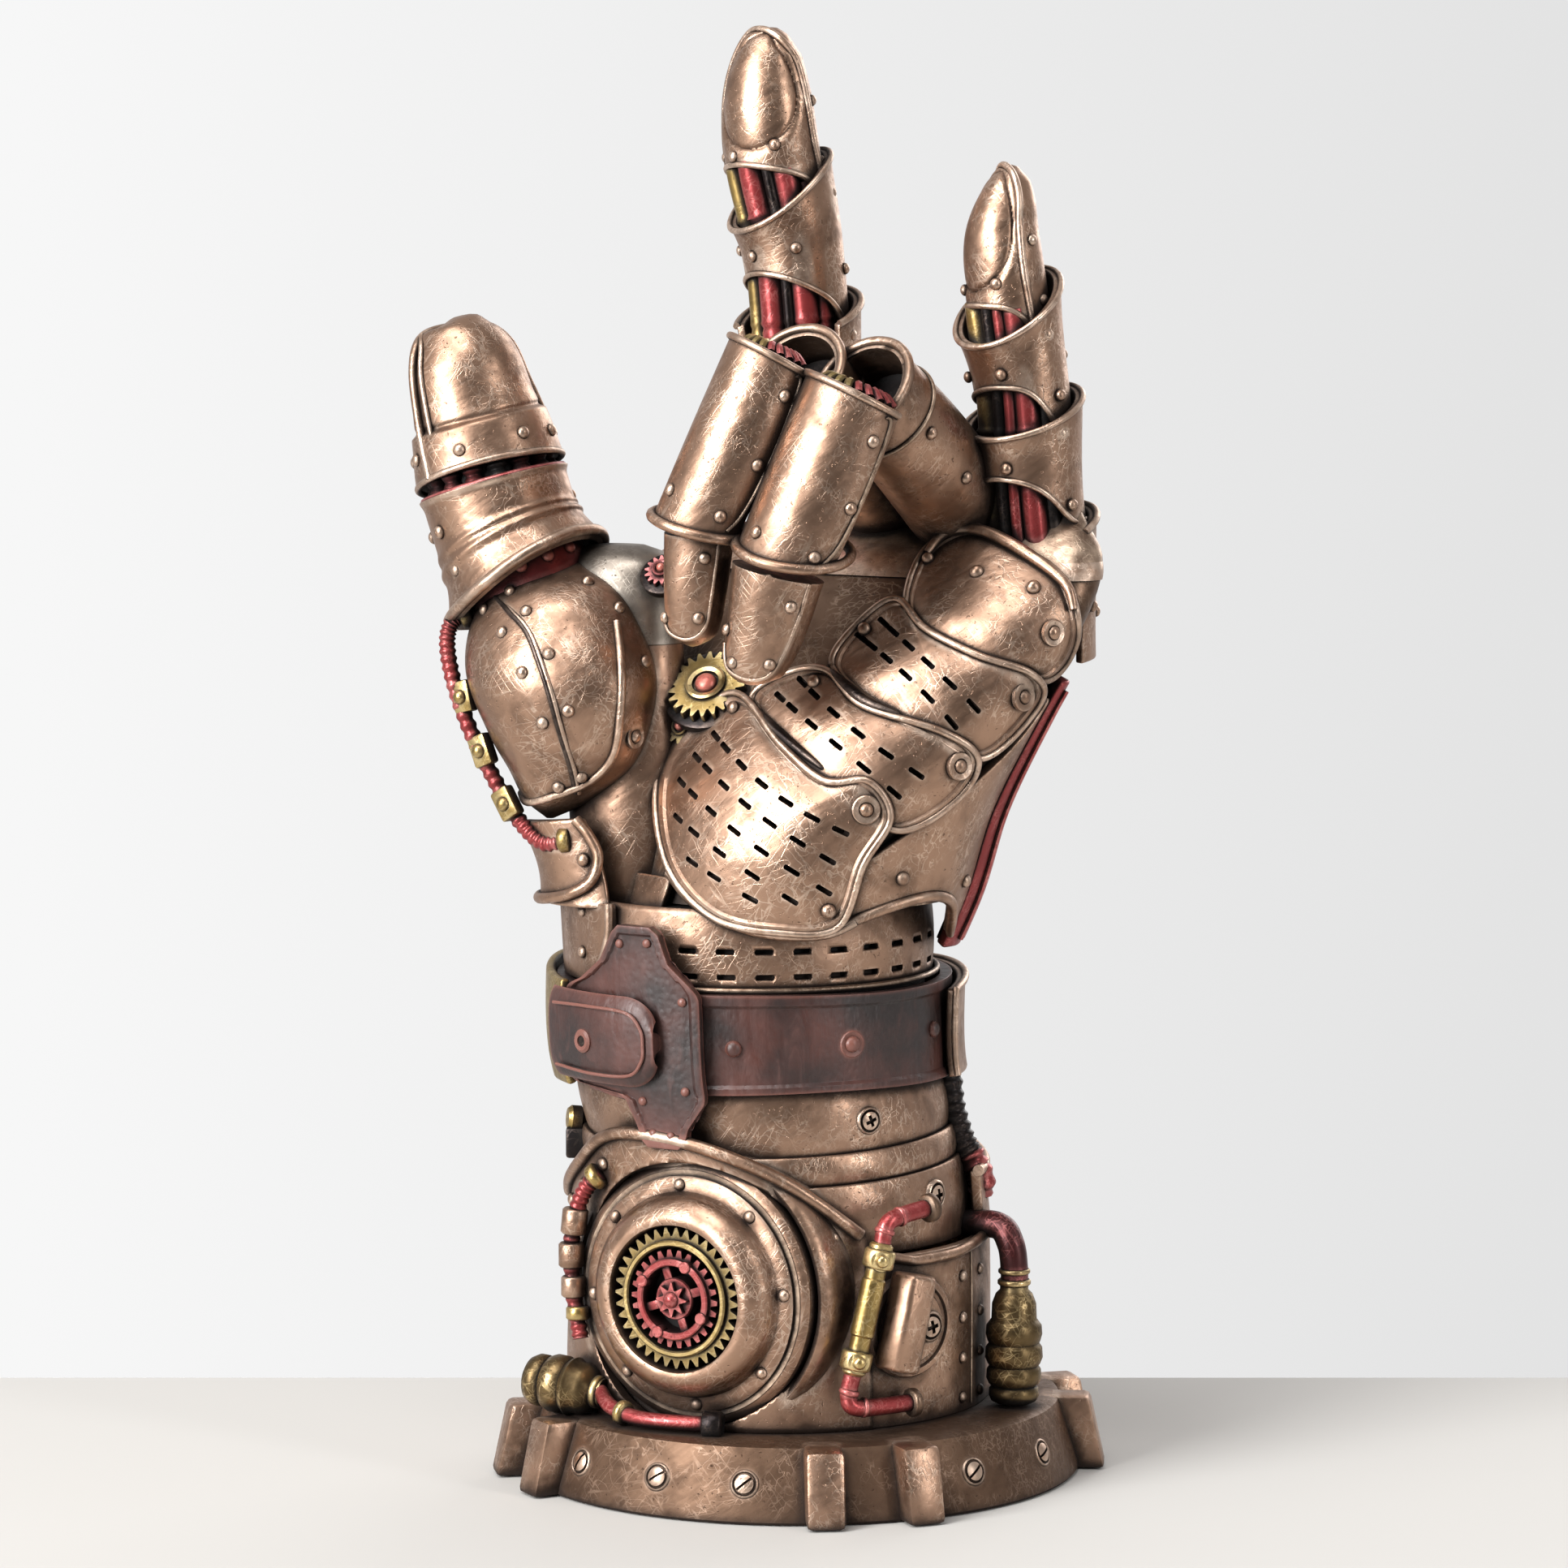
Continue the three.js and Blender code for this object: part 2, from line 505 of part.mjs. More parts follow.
/** The leather cross: a tall bar with shoulders, flat in turn and height before it is bent. */
function crossPlate() {
  const half = [[57, -34, -24], [59.6, -35.5, -21.5], [65, -38, -14.4], [66, -60, -14.2],
    [81.6, -60, -14.2],
    [82.6, -58, -15], [86.5, -44, -22.4], [92.4, -39, -25.6]];
  return walled(6, 7, (u, v, w) => {
    const [height, left, right] = half[Math.round(v * 7)];
    return arm.at(height, mix(left, right, u), w ? 34.4 : 32.4);
  });
}
add('cross_plate', crossPlate(), LEATHER_BROWN);
add('wrist_plate_right', sleeve(arm, 66.6, (turn) => 80 + 1.5 * sine(2.2 * (turn - 70)), 32.6, 33.9,
  { turns: [70, 150], columns: 8 }), BRONZE);
add('strap', sleeve(arm, STRAP_BOTTOM, STRAP_TOP, ...plainStrap, { columns: 32, rows: 1 }),
  LEATHER_BROWN);

// ---------------------------------------------------------------- the cuff's plates

/** Top edge of the front shield: high at the left, falling to the right. */
const COLLAR = [[-92, 45], [-67, 52.4], [-53, 57.4], [-42, 59.2], [-25, 58.8], [-9, 56.2], [5, 52],
  [25.4, 42.6]];
const collarHeight = (turn) => through(COLLAR, turn, 0)[1];
const collarRadius = (share) => mix(CUFF_RADIUS + 0.2, CUFF_RADIUS - 1, share * share);
add('front_shield', sleeve(arm, BASE_HEIGHT + GAP, collarHeight, (v) => collarRadius(v) - 1.9,
  collarRadius,
  { turns: [-92, 25.4], columns: 16, rows: 3 }).subtract(dialWell), BRONZE);
add('cuff_wall', sleeve(arm, BASE_HEIGHT + GAP, 39.6, CUFF_RADIUS - CUFF_WALL, CUFF_RADIUS,
  { turns: [26, 267.4], columns: 24, rows: 1 }), BRONZE);
add('rear_shield', sleeve(arm, 40.2, (turn) => 54 - 4 * cosine(1.45 * (turn - 76)), 32.2, 34.2,
  { turns: [76, 200], columns: 14 }), BRONZE);
const bandEdge = (height) => (turn) => height - 1.7 * cosine(turn + 20);
add('band_upper', sleeve(arm, bandEdge(57), STRAP_BOTTOM - GAP, 28.4, 30.2, { columns: 28, rows: 1 }),
  BRONZE);
add('band_middle', sleeve(arm, bandEdge(52.2), bandEdge(56.7), 29, 30.8,
  { turns: [-12, 290], columns: 24, rows: 1 }), BRONZE);
add('band_lower', sleeve(arm, 40.2, bandEdge(51.9), 29.6, 31.2,
  { turns: [3, 280], columns: 22, rows: 1 }), BRONZE);

// ---------------------------------------------------------------- thumb

const thumbEdge = (turn) => 144.8 + 1.75 * sine(turn) + 3.7 * cosine(turn);
const capEdge = (turn) => 163 + 1.4 * cosine(turn);
add('thumb_cap', stump(thumb, capEdge, 187.6, 0,
  { steps: 6 }), BRONZE);
add('thumb_cuff', sleeve(thumb, thumbEdge, 161, (v) => mix(0.2, -1.8, Math.min(1, 2 * v)),
  (v) => mix(2.4, 0, Math.min(1, 2 * v)), { columns: 18, rows: 2 }), BRONZE);

// ---------------------------------------------------------------- the heel of the hand and the palm

add('thenar_dome', stump(thenar, 107.6, 150, 0, { sides: 18, steps: 9 }), BRONZE);
add('thumb_rods', stump(thumb, 151, (turn) => capEdge(turn) - GAP, -2.4, { sides: 14, steps: 2 }), RED);
add('thenar_hose', bar([[-52, -6, 140.5], [-55.4, -6, 139.4], [-56.4, -6.4, 136.4], [-55, -7, 129],
  [-52, -8, 121], [-48.4, -9, 113.6], [-44.6, -10, 107.4], [-40, -12.5, 104.2], [-36, -15, 105]],
  1.4, 18), RED);
add('thumb_guard', sleeve(guard, 94, (turn) => 108 + turn / 40, -PLATE, 0.2,
  { turns: [-150, 24], columns: 14, rows: 3 }), BRONZE);
add('palm_plate_low', shield(palm, PALM_PLATE_LOW, 0.6, 0.6 + PLATE, 1.6), BRONZE);
add('palm_plate_middle', shield(palm, PALM_PLATE_MIDDLE, 0.2, 0.2 + PLATE, 1.2), BRONZE);
add('palm_plate_high', shield(palm, PALM_PLATE_HIGH, 0.2, 0.2 + PLATE, 1.2), BRONZE);
add('knuckle_plate', shield(palm, KNUCKLE_PLATE, -0.4, PLATE - 0.4, 2.4), BRONZE);

const HEEL_LOW = [[50, 93], [68, 96.2], [82, 97], [95, 95], [105, 90], [114, 88]];
const HEEL_HIGH = [[50, 103], [80, 115], [100, 124], [114, 131]];
add('heel_plate', sleeve(palm, (turn) => through(HEEL_LOW, turn, 0)[1],
  (turn) => through(HEEL_HIGH, turn, 0)[1],
  -0.9, 0.6, { turns: [50, 114], columns: 10 }), BRONZE);
add('red_spine', sleeve(palm, 86.6, 129.5, -0.6, 1.8, { turns: [115, 136], columns: 3, rows: 4 }), RED);
add('hand_back', sleeve(palm, 97.5, 146, -0.9, 0.8, { turns: [137, 262], columns: 11, rows: 4 }),
  BRONZE);

const bigGearPlace = palm.front(-14.4, 128.8, 1.6).toArray();
add('palm_gear_big', moved(toothed({ teeth: 22, tip: 6.6, root: 5.4, bore: 0, thick: 1.6 }),
  looking(bigGearPlace, -20, 42)), GOLD);

// ---------------------------------------------------------------- wrist

add('wrist_plate_left', sleeve(arm, 82, (turn) => 95.4 - (turn + 75) / 40, 28.9, 30.6,
  { turns: [-104, -47], columns: 8 }), BRONZE);
add('wrist_band', sleeve(arm, STRAP_TOP + 0.7, 94.6, WRIST_RADIUS - 1.5, WRIST_RADIUS,
  { turns: [-46, 255], columns: 26, rows: 1 }), BRONZE);

// ---------------------------------------------------------------- upright fingers

add('index_cap', stump(index, (turn) => 210 + 3.5 * cosine(turn + 40), TOTAL_HEIGHT, 0, { steps: 6 }),
  BRONZE);
add('index_ring', sleeve(index, (turn) => 190.4 + 5 * cosine(turn + 30),
  (turn) => 208.4 - 5.2 * cosine(turn + 30),
  (v) => mix(-0.9, 0.2, v), (v) => mix(0.7, 1.9, v), { columns: 16, rows: 1 }), BRONZE);
add('index_base', sleeve(index, 160, (turn) => 188 - 4 * cosine(turn), 0.8, 2.9,
  { turns: [60, 285], columns: 12 }), BRONZE);
add('pinky_cap', stump(pinky, (turn) => 188.4 + 2 * cosine(turn), 212.2, 0.2, { steps: 6 }), BRONZE);
add('pinky_ring_upper', sleeve(pinky, (turn) => 174.4 + 3.6 * cosine(turn),
  (turn) => 190 - 5.2 * cosine(turn),
  (v) => mix(-0.9, 0.6, v), (v) => mix(1, 2.6, v), { columns: 16, rows: 1 }), BRONZE);
add('pinky_ring_lower', sleeve(pinky, (turn) => 158.4 + 5 * cosine(turn),
  (turn) => 173 - 3.4 * cosine(turn),
  (v) => mix(-0.4, 0.6, v), (v) => mix(1.6, 3, v), { columns: 16, rows: 1 }), BRONZE);
add('pinky_base', sleeve(pinky, 133, (turn) => 154 - 3 * cosine(turn), 1.4, 3.4,
  { turns: [88, 236], columns: 9, rows: 3 }), BRONZE);

// ---------------------------------------------------------------- curled fingers

add('ring_plate', stump(ring, (turn) => 152.6 - 2.6 * cosine(turn) + 1.9 * sine(turn),
  (turn) => 176.4 - 0.6 * sine(turn), 0.4, { sides: 18 }), BRONZE);
add('middle_plate', stump(middle, (turn) => 156 - 1.2 * cosine(turn) + 1.3 * sine(turn),
  (turn) => 182.2 - 0.7 * sine(turn), 0.4, { sides: 18 }), BRONZE);
add('ring_tip', stump(ringTip, 131.5, 149.2, 0, { steps: 5 }), BRONZE);
add('middle_tip', stump(middleTip, 137.2, 154.4, 0, { steps: 5 }), BRONZE);
add('ring_root', stump(ringRoot, 152, 173.5, 0), BRONZE);
add('middle_root', stump(middleRoot, 157, 179.5, 0), BRONZE);
add('index_rods', stump(index, 160, (turn) => 209.6 + 3.5 * cosine(turn + 40), -1.7, { sides: 12 }),
  RED);
add('pinky_rods', stump(pinky, 149, (turn) => 188 + 2 * cosine(turn), -1.4, { sides: 12 }), RED);

// ---------------------------------------------------------------- the cast cores

add('palm_core', stump(palm, CORE_TOP + GAP, (turn) => 153 + 5 * sine(turn), -1.8,
  { sides: 22, steps: 4 }), BRONZE);
const CORE = [[12.3, 31.2], [38.6, 31.2], [41, 28.4], [50, 27.8], [56, 27.4], [82, 27.2],
  [CORE_TOP, 25.8]];
add('forearm_core', lofted(CORE.map(([height, radius]) =>
  Array.from({ length: 28 }, (_, k) => arm.at(height, (360 * k) / 28, radius)))).subtract(dialWell),
    BRONZE);

export default gauntlet;
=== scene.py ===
from math import acos, atan2, cos, degrees, exp, hypot, pi, radians, sin

import bmesh
import bpy
from mathutils import Matrix, Vector


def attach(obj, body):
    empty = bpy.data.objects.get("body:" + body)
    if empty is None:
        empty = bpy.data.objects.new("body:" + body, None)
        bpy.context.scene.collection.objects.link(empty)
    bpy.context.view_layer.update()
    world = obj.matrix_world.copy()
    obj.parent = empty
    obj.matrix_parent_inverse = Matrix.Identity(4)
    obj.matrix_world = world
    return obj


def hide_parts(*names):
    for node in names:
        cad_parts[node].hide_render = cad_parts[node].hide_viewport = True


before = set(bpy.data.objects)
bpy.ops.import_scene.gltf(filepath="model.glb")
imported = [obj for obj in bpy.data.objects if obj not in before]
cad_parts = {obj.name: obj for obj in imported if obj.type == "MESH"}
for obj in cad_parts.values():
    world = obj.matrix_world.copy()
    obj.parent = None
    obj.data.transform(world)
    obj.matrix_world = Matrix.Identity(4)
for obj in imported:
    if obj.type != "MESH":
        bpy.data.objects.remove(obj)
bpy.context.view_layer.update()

# ------------------------------------------------------------------ the studio
# A statuette shown on an off-white table top against pale grey, between two tall
# softboxes with a wide one above. The table's back edge runs just behind the base.
MM = 0.001
CAMERA_PLACE = Vector((-2.3, -930.8, 211.6)) * MM
CAMERA_DOWN = 6.1
TABLE_BACK = 66 * MM
TABLE_DEPTH = 0.36

camera_data = bpy.data.cameras.new("camera")
camera_data.lens = 132
camera_data.clip_start = 0.02
camera = bpy.data.objects.new("camera", camera_data)
camera.location = CAMERA_PLACE
camera.rotation_euler = (radians(90 - CAMERA_DOWN), 0, 0)
bpy.context.collection.objects.link(camera)
bpy.context.scene.camera = camera
bpy.context.scene.view_settings.view_transform = "Standard"


def add_node(tree, kind, settings=None, **sockets):
    """A shader node with its settings, and its inputs set or wired by name."""
    node = tree.nodes.new("ShaderNode" + kind)
    for key, value in (settings or {}).items():
        setattr(node, key, value)
    for key, value in sockets.items():
        socket = node.inputs[key.replace("_", " ")]
        if isinstance(value, bpy.types.NodeSocket):
            tree.links.new(value, socket)
        else:
            socket.default_value = value
    return node


def softbox(name, place, target, width, height, power, colour=(1, 1, 1)):
    light = bpy.data.lights.new(name, "AREA")
    light.shape = "RECTANGLE"
    light.size = width
    light.size_y = height
    light.energy = power
    light.color = colour
    lamp = bpy.data.objects.new(name, light)
    lamp.location = place
    lamp.rotation_euler = (Vector(target) - Vector(place)).to_track_quat("-Z", "Y").to_euler()
    bpy.context.collection.objects.link(lamp)


softbox("softbox_left", (-1.0, -0.88, 0.62), (0, 0, 0.14), 0.62, 1.0, 33)
softbox("softbox_right", (0.95, -0.75, 0.5), (0, 0, 0.13), 0.16, 0.9, 4.5)
softbox("softbox_top", (-0.3, -0.45, 1.25), (0, 0, 0.1), 0.8, 0.6, 9)
softbox("rim_back", (0.7, 1.1, 0.6), (0, 0, 0.12), 0.8, 0.8, 6)

world = bpy.data.worlds.new("studio_grey")
world.use_nodes = True
sky = world.node_tree
sky.nodes.clear()
across = add_node(sky, "SeparateXYZ", Vector=add_node(sky, "TexCoord").outputs["Generated"])
fade = add_node(sky, "MapRange", Value=across.outputs["X"], From_Min=-0.13, From_Max=0.13, To_Min=0.93, To_Max=0.77)
seen = add_node(sky, "Background", Color=fade.outputs["Result"], Strength=1.0)
room = add_node(sky, "MapRange", Value=across.outputs["Y"], From_Min=-0.8, From_Max=0.6, To_Min=0.15, To_Max=0.62)
ambient = add_node(sky, "Background", Color=(0.95, 0.93, 0.93, 1), Strength=room.outputs["Result"])
chosen = add_node(sky, "MixShader", Fac=add_node(sky, "LightPath").outputs["Is Camera Ray"])
sky.links.new(ambient.outputs[0], chosen.inputs[1])
sky.links.new(seen.outputs[0], chosen.inputs[2])
sky.links.new(chosen.outputs[0], add_node(sky, "OutputWorld").inputs[0])
bpy.context.scene.world = world


def plain_material(name, colour, roughness, metallic=0.0):
    material = bpy.data.materials.new(name)
    material.use_nodes = True
    shader = material.node_tree.nodes["Principled BSDF"]
    shader.inputs["Base Color"].default_value = (*colour, 1)
    shader.inputs["Roughness"].default_value = roughness
    shader.inputs["Metallic"].default_value = metallic
    return material


table_shape = bmesh.new()
bmesh.ops.create_cube(table_shape, size=1)
bmesh.ops.scale(table_shape, vec=(3.2, TABLE_DEPTH, 0.03), verts=table_shape.verts)
bmesh.ops.translate(table_shape, vec=(0, TABLE_BACK - TABLE_DEPTH / 2, -0.0152), verts=table_shape.verts)
table_mesh = bpy.data.meshes.new("table_top")
table_shape.to_mesh(table_mesh)
table_shape.free()
table_mesh.materials.append(plain_material("off_white_top", (0.545, 0.53, 0.505), 0.7))
table_top = bpy.data.objects.new("table_top", table_mesh)
bpy.context.collection.objects.link(table_top)


# ------------------------------------------------------------------ the gear-shaped base
# A turned disc of bronze-filled resin with four pairs of square teeth. It is cast in one with
# the figure, then rubbed bright on its edges over a dark wash. Its material also adds painted
# shade in its hollows. Slotted screws sit in its wall.
def patina_group():
    """Dark wash and painted shade in the hollows and between parts, rubbed edges, blotches and fine crossing scratches.
    """
    group = bpy.data.node_groups.new("rubbed_patina", "ShaderNodeTree")
    asked = [("Deep", "Color", (0.02, 0.015, 0.012, 1)), ("Body", "Color", (0.4, 0.3, 0.2, 1)),
             ("Bright", "Color", (0.7, 0.6, 0.5, 1)), ("Wash", "Float", 1.0), ("Rub", "Float", 1.0),
             ("Blotch", "Float", 0.5), ("Polish", "Float", 0.32), ("Relief", "Float", 1.0)]
    for label, kind, value in asked:
        socket = group.interface.new_socket(label, in_out="INPUT", socket_type="NodeSocket" + kind)
        socket.default_value = value
    for label, kind in [("Color", "Color"), ("Roughness", "Float"), ("Metallic", "Float"), ("Normal", "Vector")]:
        group.interface.new_socket(label, in_out="OUTPUT", socket_type="NodeSocket" + kind)
    entry = group.nodes.new("NodeGroupInput").outputs
    leave = group.nodes.new("NodeGroupOutput")

    def maths(operation, first, second=0.0, clamped=True):
        node = add_node(group, "Math", {"operation": operation, "use_clamp": clamped})
        for slot_index, value in enumerate((first, second)):
            if isinstance(value, bpy.types.NodeSocket):
                group.links.new(value, node.inputs[slot_index])
            else:
                node.inputs[slot_index].default_value = value
        return node.outputs[0]

    def ranged(value, low, high, start=0.0, end=1.0):
        sizes = {"From_Min": low, "From_Max": high, "To_Min": start, "To_Max": end}
        return add_node(group, "MapRange", Value=value, **sizes).outputs["Result"]

    def noise(scale, detail, vector, distortion=0.0):
        return add_node(group, "TexNoise", Vector=vector, Scale=scale, Detail=detail,
                        Distortion=distortion).outputs["Fac"]

    def blended(share, first, second):
        node = add_node(group, "Mix", {"data_type": "RGBA"})
        for slot_index, value in ((0, share), (6, first), (7, second)):
            group.links.new(value, node.inputs[slot_index])
        return node.outputs[2]

    place = add_node(group, "TexCoord").outputs["Object"]
    lines = []
    for turn, lean, scale in ((32, 12, 620), (-38, -20, 560), (74, 35, 700)):
        streaks = add_node(group, "Mapping", {"vector_type": "TEXTURE"}, Vector=place)
        streaks.inputs["Rotation"].default_value = (radians(lean), radians(turn), 0)
        streaks.inputs["Scale"].default_value = (1, 1, 11)
        centred = maths("SUBTRACT", noise(scale, 1.5, streaks.outputs[0]), 0.5, False)
        lines.append(ranged(maths("ABSOLUTE", centred), 0.02, 0.0))
    patchy = ranged(noise(160, 2.0, place), 0.4, 0.6)
    scratches = maths("MULTIPLY", maths("MAXIMUM", lines[0], maths("MAXIMUM", lines[1], lines[2])), patchy)
    brushed = add_node(group, "Mapping", {"vector_type": "TEXTURE"}, Vector=place)
    brushed.inputs["Rotation"].default_value = (0.2, 0.9, 0)
    brushed.inputs["Scale"].default_value = (1, 1, 7)
    soft_strokes = noise(900, 2.0, brushed.outputs[0])
    blotch = ranged(noise(95, 5.0, place, 0.8), 0.44, 0.62)
    mottle = ranged(noise(480, 4.0, place), 0.35, 0.7)
    pits = ranged(noise(1500, 2.0, place), 0.67, 0.72)
    # The two ambient-occlusion masks below darken the colour towards Deep. This is partly the dark wash the casting has
    # in its hollows, and partly painted shade in recesses, round rivets, along rails and between parts.
    hollow = add_node(group, "AmbientOcclusion", {"samples": 6}, Distance=0.0022).outputs["AO"]
    painted_corner_shade = add_node(group, "AmbientOcclusion", {"samples": 6}, Distance=0.009).outputs["AO"]
    wash_and_painted_shade = maths("ADD", ranged(hollow, 0.92, 0.42), ranged(painted_corner_shade, 0.84, 0.22, 0, 0.65))
    edge_light = add_node(group, "AmbientOcclusion", {"samples": 6, "inside": True}, Distance=0.0009)
    edge = ranged(edge_light.outputs["AO"], 0.80, 0.45)
    stained = maths("MULTIPLY", maths("MULTIPLY", blotch, entry["Blotch"]), maths("ADD", mottle, 0.35))
    grime_and_painted_shade = maths("ADD", maths("MULTIPLY", wash_and_painted_shade, entry["Wash"]), maths("MULTIPLY", stained, 0.45))
    grime_and_painted_shade = maths("MAXIMUM", grime_and_painted_shade, maths("MULTIPLY", pits, 0.55))
    worn = maths("ADD", maths("MULTIPLY", edge, maths("MULTIPLY", entry["Rub"], maths("ADD", mottle, 0.25))),
                 maths("MULTIPLY", scratches, maths("MULTIPLY", entry["Rub"], 0.75)))
    colour = blended(worn, entry["Body"], entry["Bright"])
    # Colour goes towards Deep with the wash, stains and pits, and with the painted shade from the occlusion masks.
    colour = blended(grime_and_painted_shade, colour, entry["Deep"])
    group.links.new(colour, leave.inputs["Color"])
    matt = maths("ADD", maths("MULTIPLY", grime_and_painted_shade, 0.3), maths("MULTIPLY", maths("SUBTRACT", soft_strokes, 0.3), 0.25))
    group.links.new(maths("ADD", entry["Polish"], matt), leave.inputs["Roughness"])
    group.links.new(maths("SUBTRACT", 1.0, maths("MULTIPLY", wash_and_painted_shade, 0.55)), leave.inputs["Metallic"])
    waves = noise(120, 2.0, place, 0.3)
    height = maths("SUBTRACT", maths("ADD", maths("MULTIPLY", soft_strokes, 0.28), maths("MULTIPLY", mottle, 0.10)),
                   maths("ADD", maths("MULTIPLY", scratches, 0.09), maths("MULTIPLY", pits, 0.22)))
    fine = add_node(group, "Bump", Strength=entry["Relief"], Distance=0.00022, Height=height)
    bump = add_node(group, "Bump", Strength=entry["Relief"], Distance=0.00042, Height=waves,
                    Normal=fine.outputs[0])
    group.links.new(bump.outputs[0], leave.inputs["Normal"])
    return group


patina = patina_group()


def rubbed_finish(name, deep, body, bright, metallic=None, **amounts):
    """A material of the casting: its three colours and how far it is washed and darkened with painted shade in its
    hollows, rubbed and polished.
    """
    material = bpy.data.materials.new(name)
    material.use_nodes = True
    tree = material.node_tree
    shader = tree.nodes["Principled BSDF"]
    effect = tree.nodes.new("ShaderNodeGroup")
    effect.node_tree = patina
    for socket, colour in (("Deep", deep), ("Body", body), ("Bright", bright)):
        effect.inputs[socket].default_value = (*colour, 1)
    for socket, value in amounts.items():
        effect.inputs[socket].default_value = value
    tree.links.new(effect.outputs["Color"], shader.inputs["Base Color"])
    tree.links.new(effect.outputs["Roughness"], shader.inputs["Roughness"])
    tree.links.new(effect.outputs["Normal"], shader.inputs["Normal"])
    if metallic is None:
        tree.links.new(effect.outputs["Metallic"], shader.inputs["Metallic"])
    else:
        shader.inputs["Metallic"].default_value = metallic
    return material


bronze = rubbed_finish("antique_bronze", (0.022, 0.012, 0.008), (0.42, 0.262, 0.180), (0.86, 0.66, 0.52),
                       Wash=1.35, Rub=0.85, Blotch=0.95, Polish=0.29, Relief=0.8)
base_bronze = rubbed_finish("base_bronze", (0.022, 0.012, 0.008), (0.14, 0.085, 0.056), (0.5, 0.35, 0.26),
                            Wash=1.0, Rub=0.5, Blotch=0.8, Polish=0.46, Relief=0.7)
dark_bronze = rubbed_finish("dark_bronze", (0.014, 0.009, 0.007), (0.20, 0.125, 0.085), (0.62, 0.46, 0.34),
                            Wash=1.0, Rub=0.9, Blotch=0.9, Polish=0.3, Relief=0.5)


def piece(name, shape, material, nodes=(), wall=0.0, rounding=0.0, crease=38, edges=2):
    """Makes a bmesh a finished casting, with its wall and rounded edges, riding on the one body."""
    for face in shape.faces:
        face.smooth = True
    mesh = bpy.data.meshes.new(name)
    shape.to_mesh(mesh)
    shape.free()
    mesh.materials.append(material)
    thing = bpy.data.objects.new(name, mesh)
    bpy.context.collection.objects.link(thing)
    if wall:
        thick = thing.modifiers.new("wall", "SOLIDIFY")
        thick.thickness = wall * MM
        thick.offset = -1
        thick.use_even_offset = False
    if rounding:
        rounded = thing.modifiers.new("rounding", "BEVEL")
        rounded.width = rounding * MM
        rounded.segments = edges
        rounded.limit_method = "ANGLE"
        rounded.angle_limit = radians(crease)
        even = thing.modifiers.new("even_shading", "WEIGHTED_NORMAL")
        even.keep_sharp = True
    else:
        mesh.set_sharp_from_angle(angle=radians(crease))
    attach(thing, "root")
    if nodes:
        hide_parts(*nodes)
    return thing


def looking(place, facing, tilt=0.0):
    """The placing of something whose own +Z looks out along a facing, raised by a tilt."""
    out = Vector((sin(radians(facing)) * cos(radians(tilt)), -cos(radians(facing)) * cos(radians(tilt)),
                  sin(radians(tilt))))
    right = Vector((cos(radians(facing)), sin(radians(facing)), 0))
    up = out.cross(right)
    turned = Matrix((right, up, out)).transposed().to_4x4()
    return Matrix.Translation(Vector(place) * MM) @ turned


def outward(point, direction):
    """The placing of something whose own +Z leaves a surface point along a direction, in metres."""
    return Matrix.Translation(point) @ direction.to_track_quat("Z", "Y").to_matrix().to_4x4()


def turned(profile, steps=64, matrix=None):
    """A piece turned on its own Z axis from a profile of radius and height in millimetres."""
    shape = bmesh.new()
    points = [shape.verts.new((r * MM, 0, h * MM)) for r, h in profile]
    lines = [shape.edges.new(pair) for pair in zip(points, points[1:])]
    bmesh.ops.spin(shape, geom=points + lines, cent=(0, 0, 0), axis=(0, 0, 1), angle=2 * pi,
                   steps=steps, use_merge=True)
    bmesh.ops.remove_doubles(shape, verts=shape.verts, dist=1e-6)
    bmesh.ops.recalc_face_normals(shape, faces=shape.faces)
    bmesh.ops.transform(shape, matrix=matrix or Matrix(), verts=shape.verts)
    return shape


def joined(*shapes):
    """One bmesh that holds several."""
    whole = bmesh.new()
    for shape in shapes:
        part = bpy.data.meshes.new("part")
        shape.to_mesh(part)
        shape.free()
        whole.from_mesh(part)
        bpy.data.meshes.remove(part)
    return whole


def block(width, depth, height, matrix, rounding=0.0):
    """A block centred on its place, in millimetres, with its edges rounded."""
    shape = bmesh.new()
    bmesh.ops.create_cube(shape, size=1)
    bmesh.ops.scale(shape, vec=Vector((width, depth, height)) * MM, verts=shape.verts)
    if rounding:
        bmesh.ops.bevel(shape, geom=shape.edges, offset=rounding * MM, affect="EDGES", segments=2,
                        profile=0.5, material=-1)
    bmesh.ops.transform(shape, matrix=matrix, verts=shape.verts)
    return shape


def cut(thing, cutter):
    """Takes a cutter's shape out of a piece for good."""
    tool_mesh = bpy.data.meshes.new("cutter")
    cutter.to_mesh(tool_mesh)
    cutter.free()
    tool = bpy.data.objects.new("cutter", tool_mesh)
    bpy.context.collection.objects.link(tool)
    notch = thing.modifiers.new("notch", "BOOLEAN")
    notch.object = tool
    notch.operation = "DIFFERENCE"
    notch.solver = "EXACT"
    notch.use_self = True
    bpy.context.view_layer.update()
    solved = bpy.data.meshes.new_from_object(thing.evaluated_get(bpy.context.evaluated_depsgraph_get()))
    thing.modifiers.clear()
    thing.data = solved
    bpy.data.objects.remove(tool)


BASE_HEIGHT = 12
FOOT_RADIUS = 46.3
TOP_RADIUS = 42.6
TOOTH_REACH = 50.6
TOOTH_WIDTH = 6.2
TOOTH_PAIRS = (-69.5, 14.5, 95.5, 190)
TOOTH_SPREAD = 19

base_shape = turned([(0, 0), (FOOT_RADIUS - 0.3, 0), (FOOT_RADIUS, 0.4), (FOOT_RADIUS - 0.1, 1.4),
                     (TOP_RADIUS + 0.7, 10.7), (TOP_RADIUS + 0.3, 11.6), (TOP_RADIUS - 0.7, BASE_HEIGHT),
                     (36, BASE_HEIGHT + 0.1), (0, BASE_HEIGHT + 0.1)], 144)
piece("base_disc", base_shape, base_bronze, ["gear_base"], crease=30)

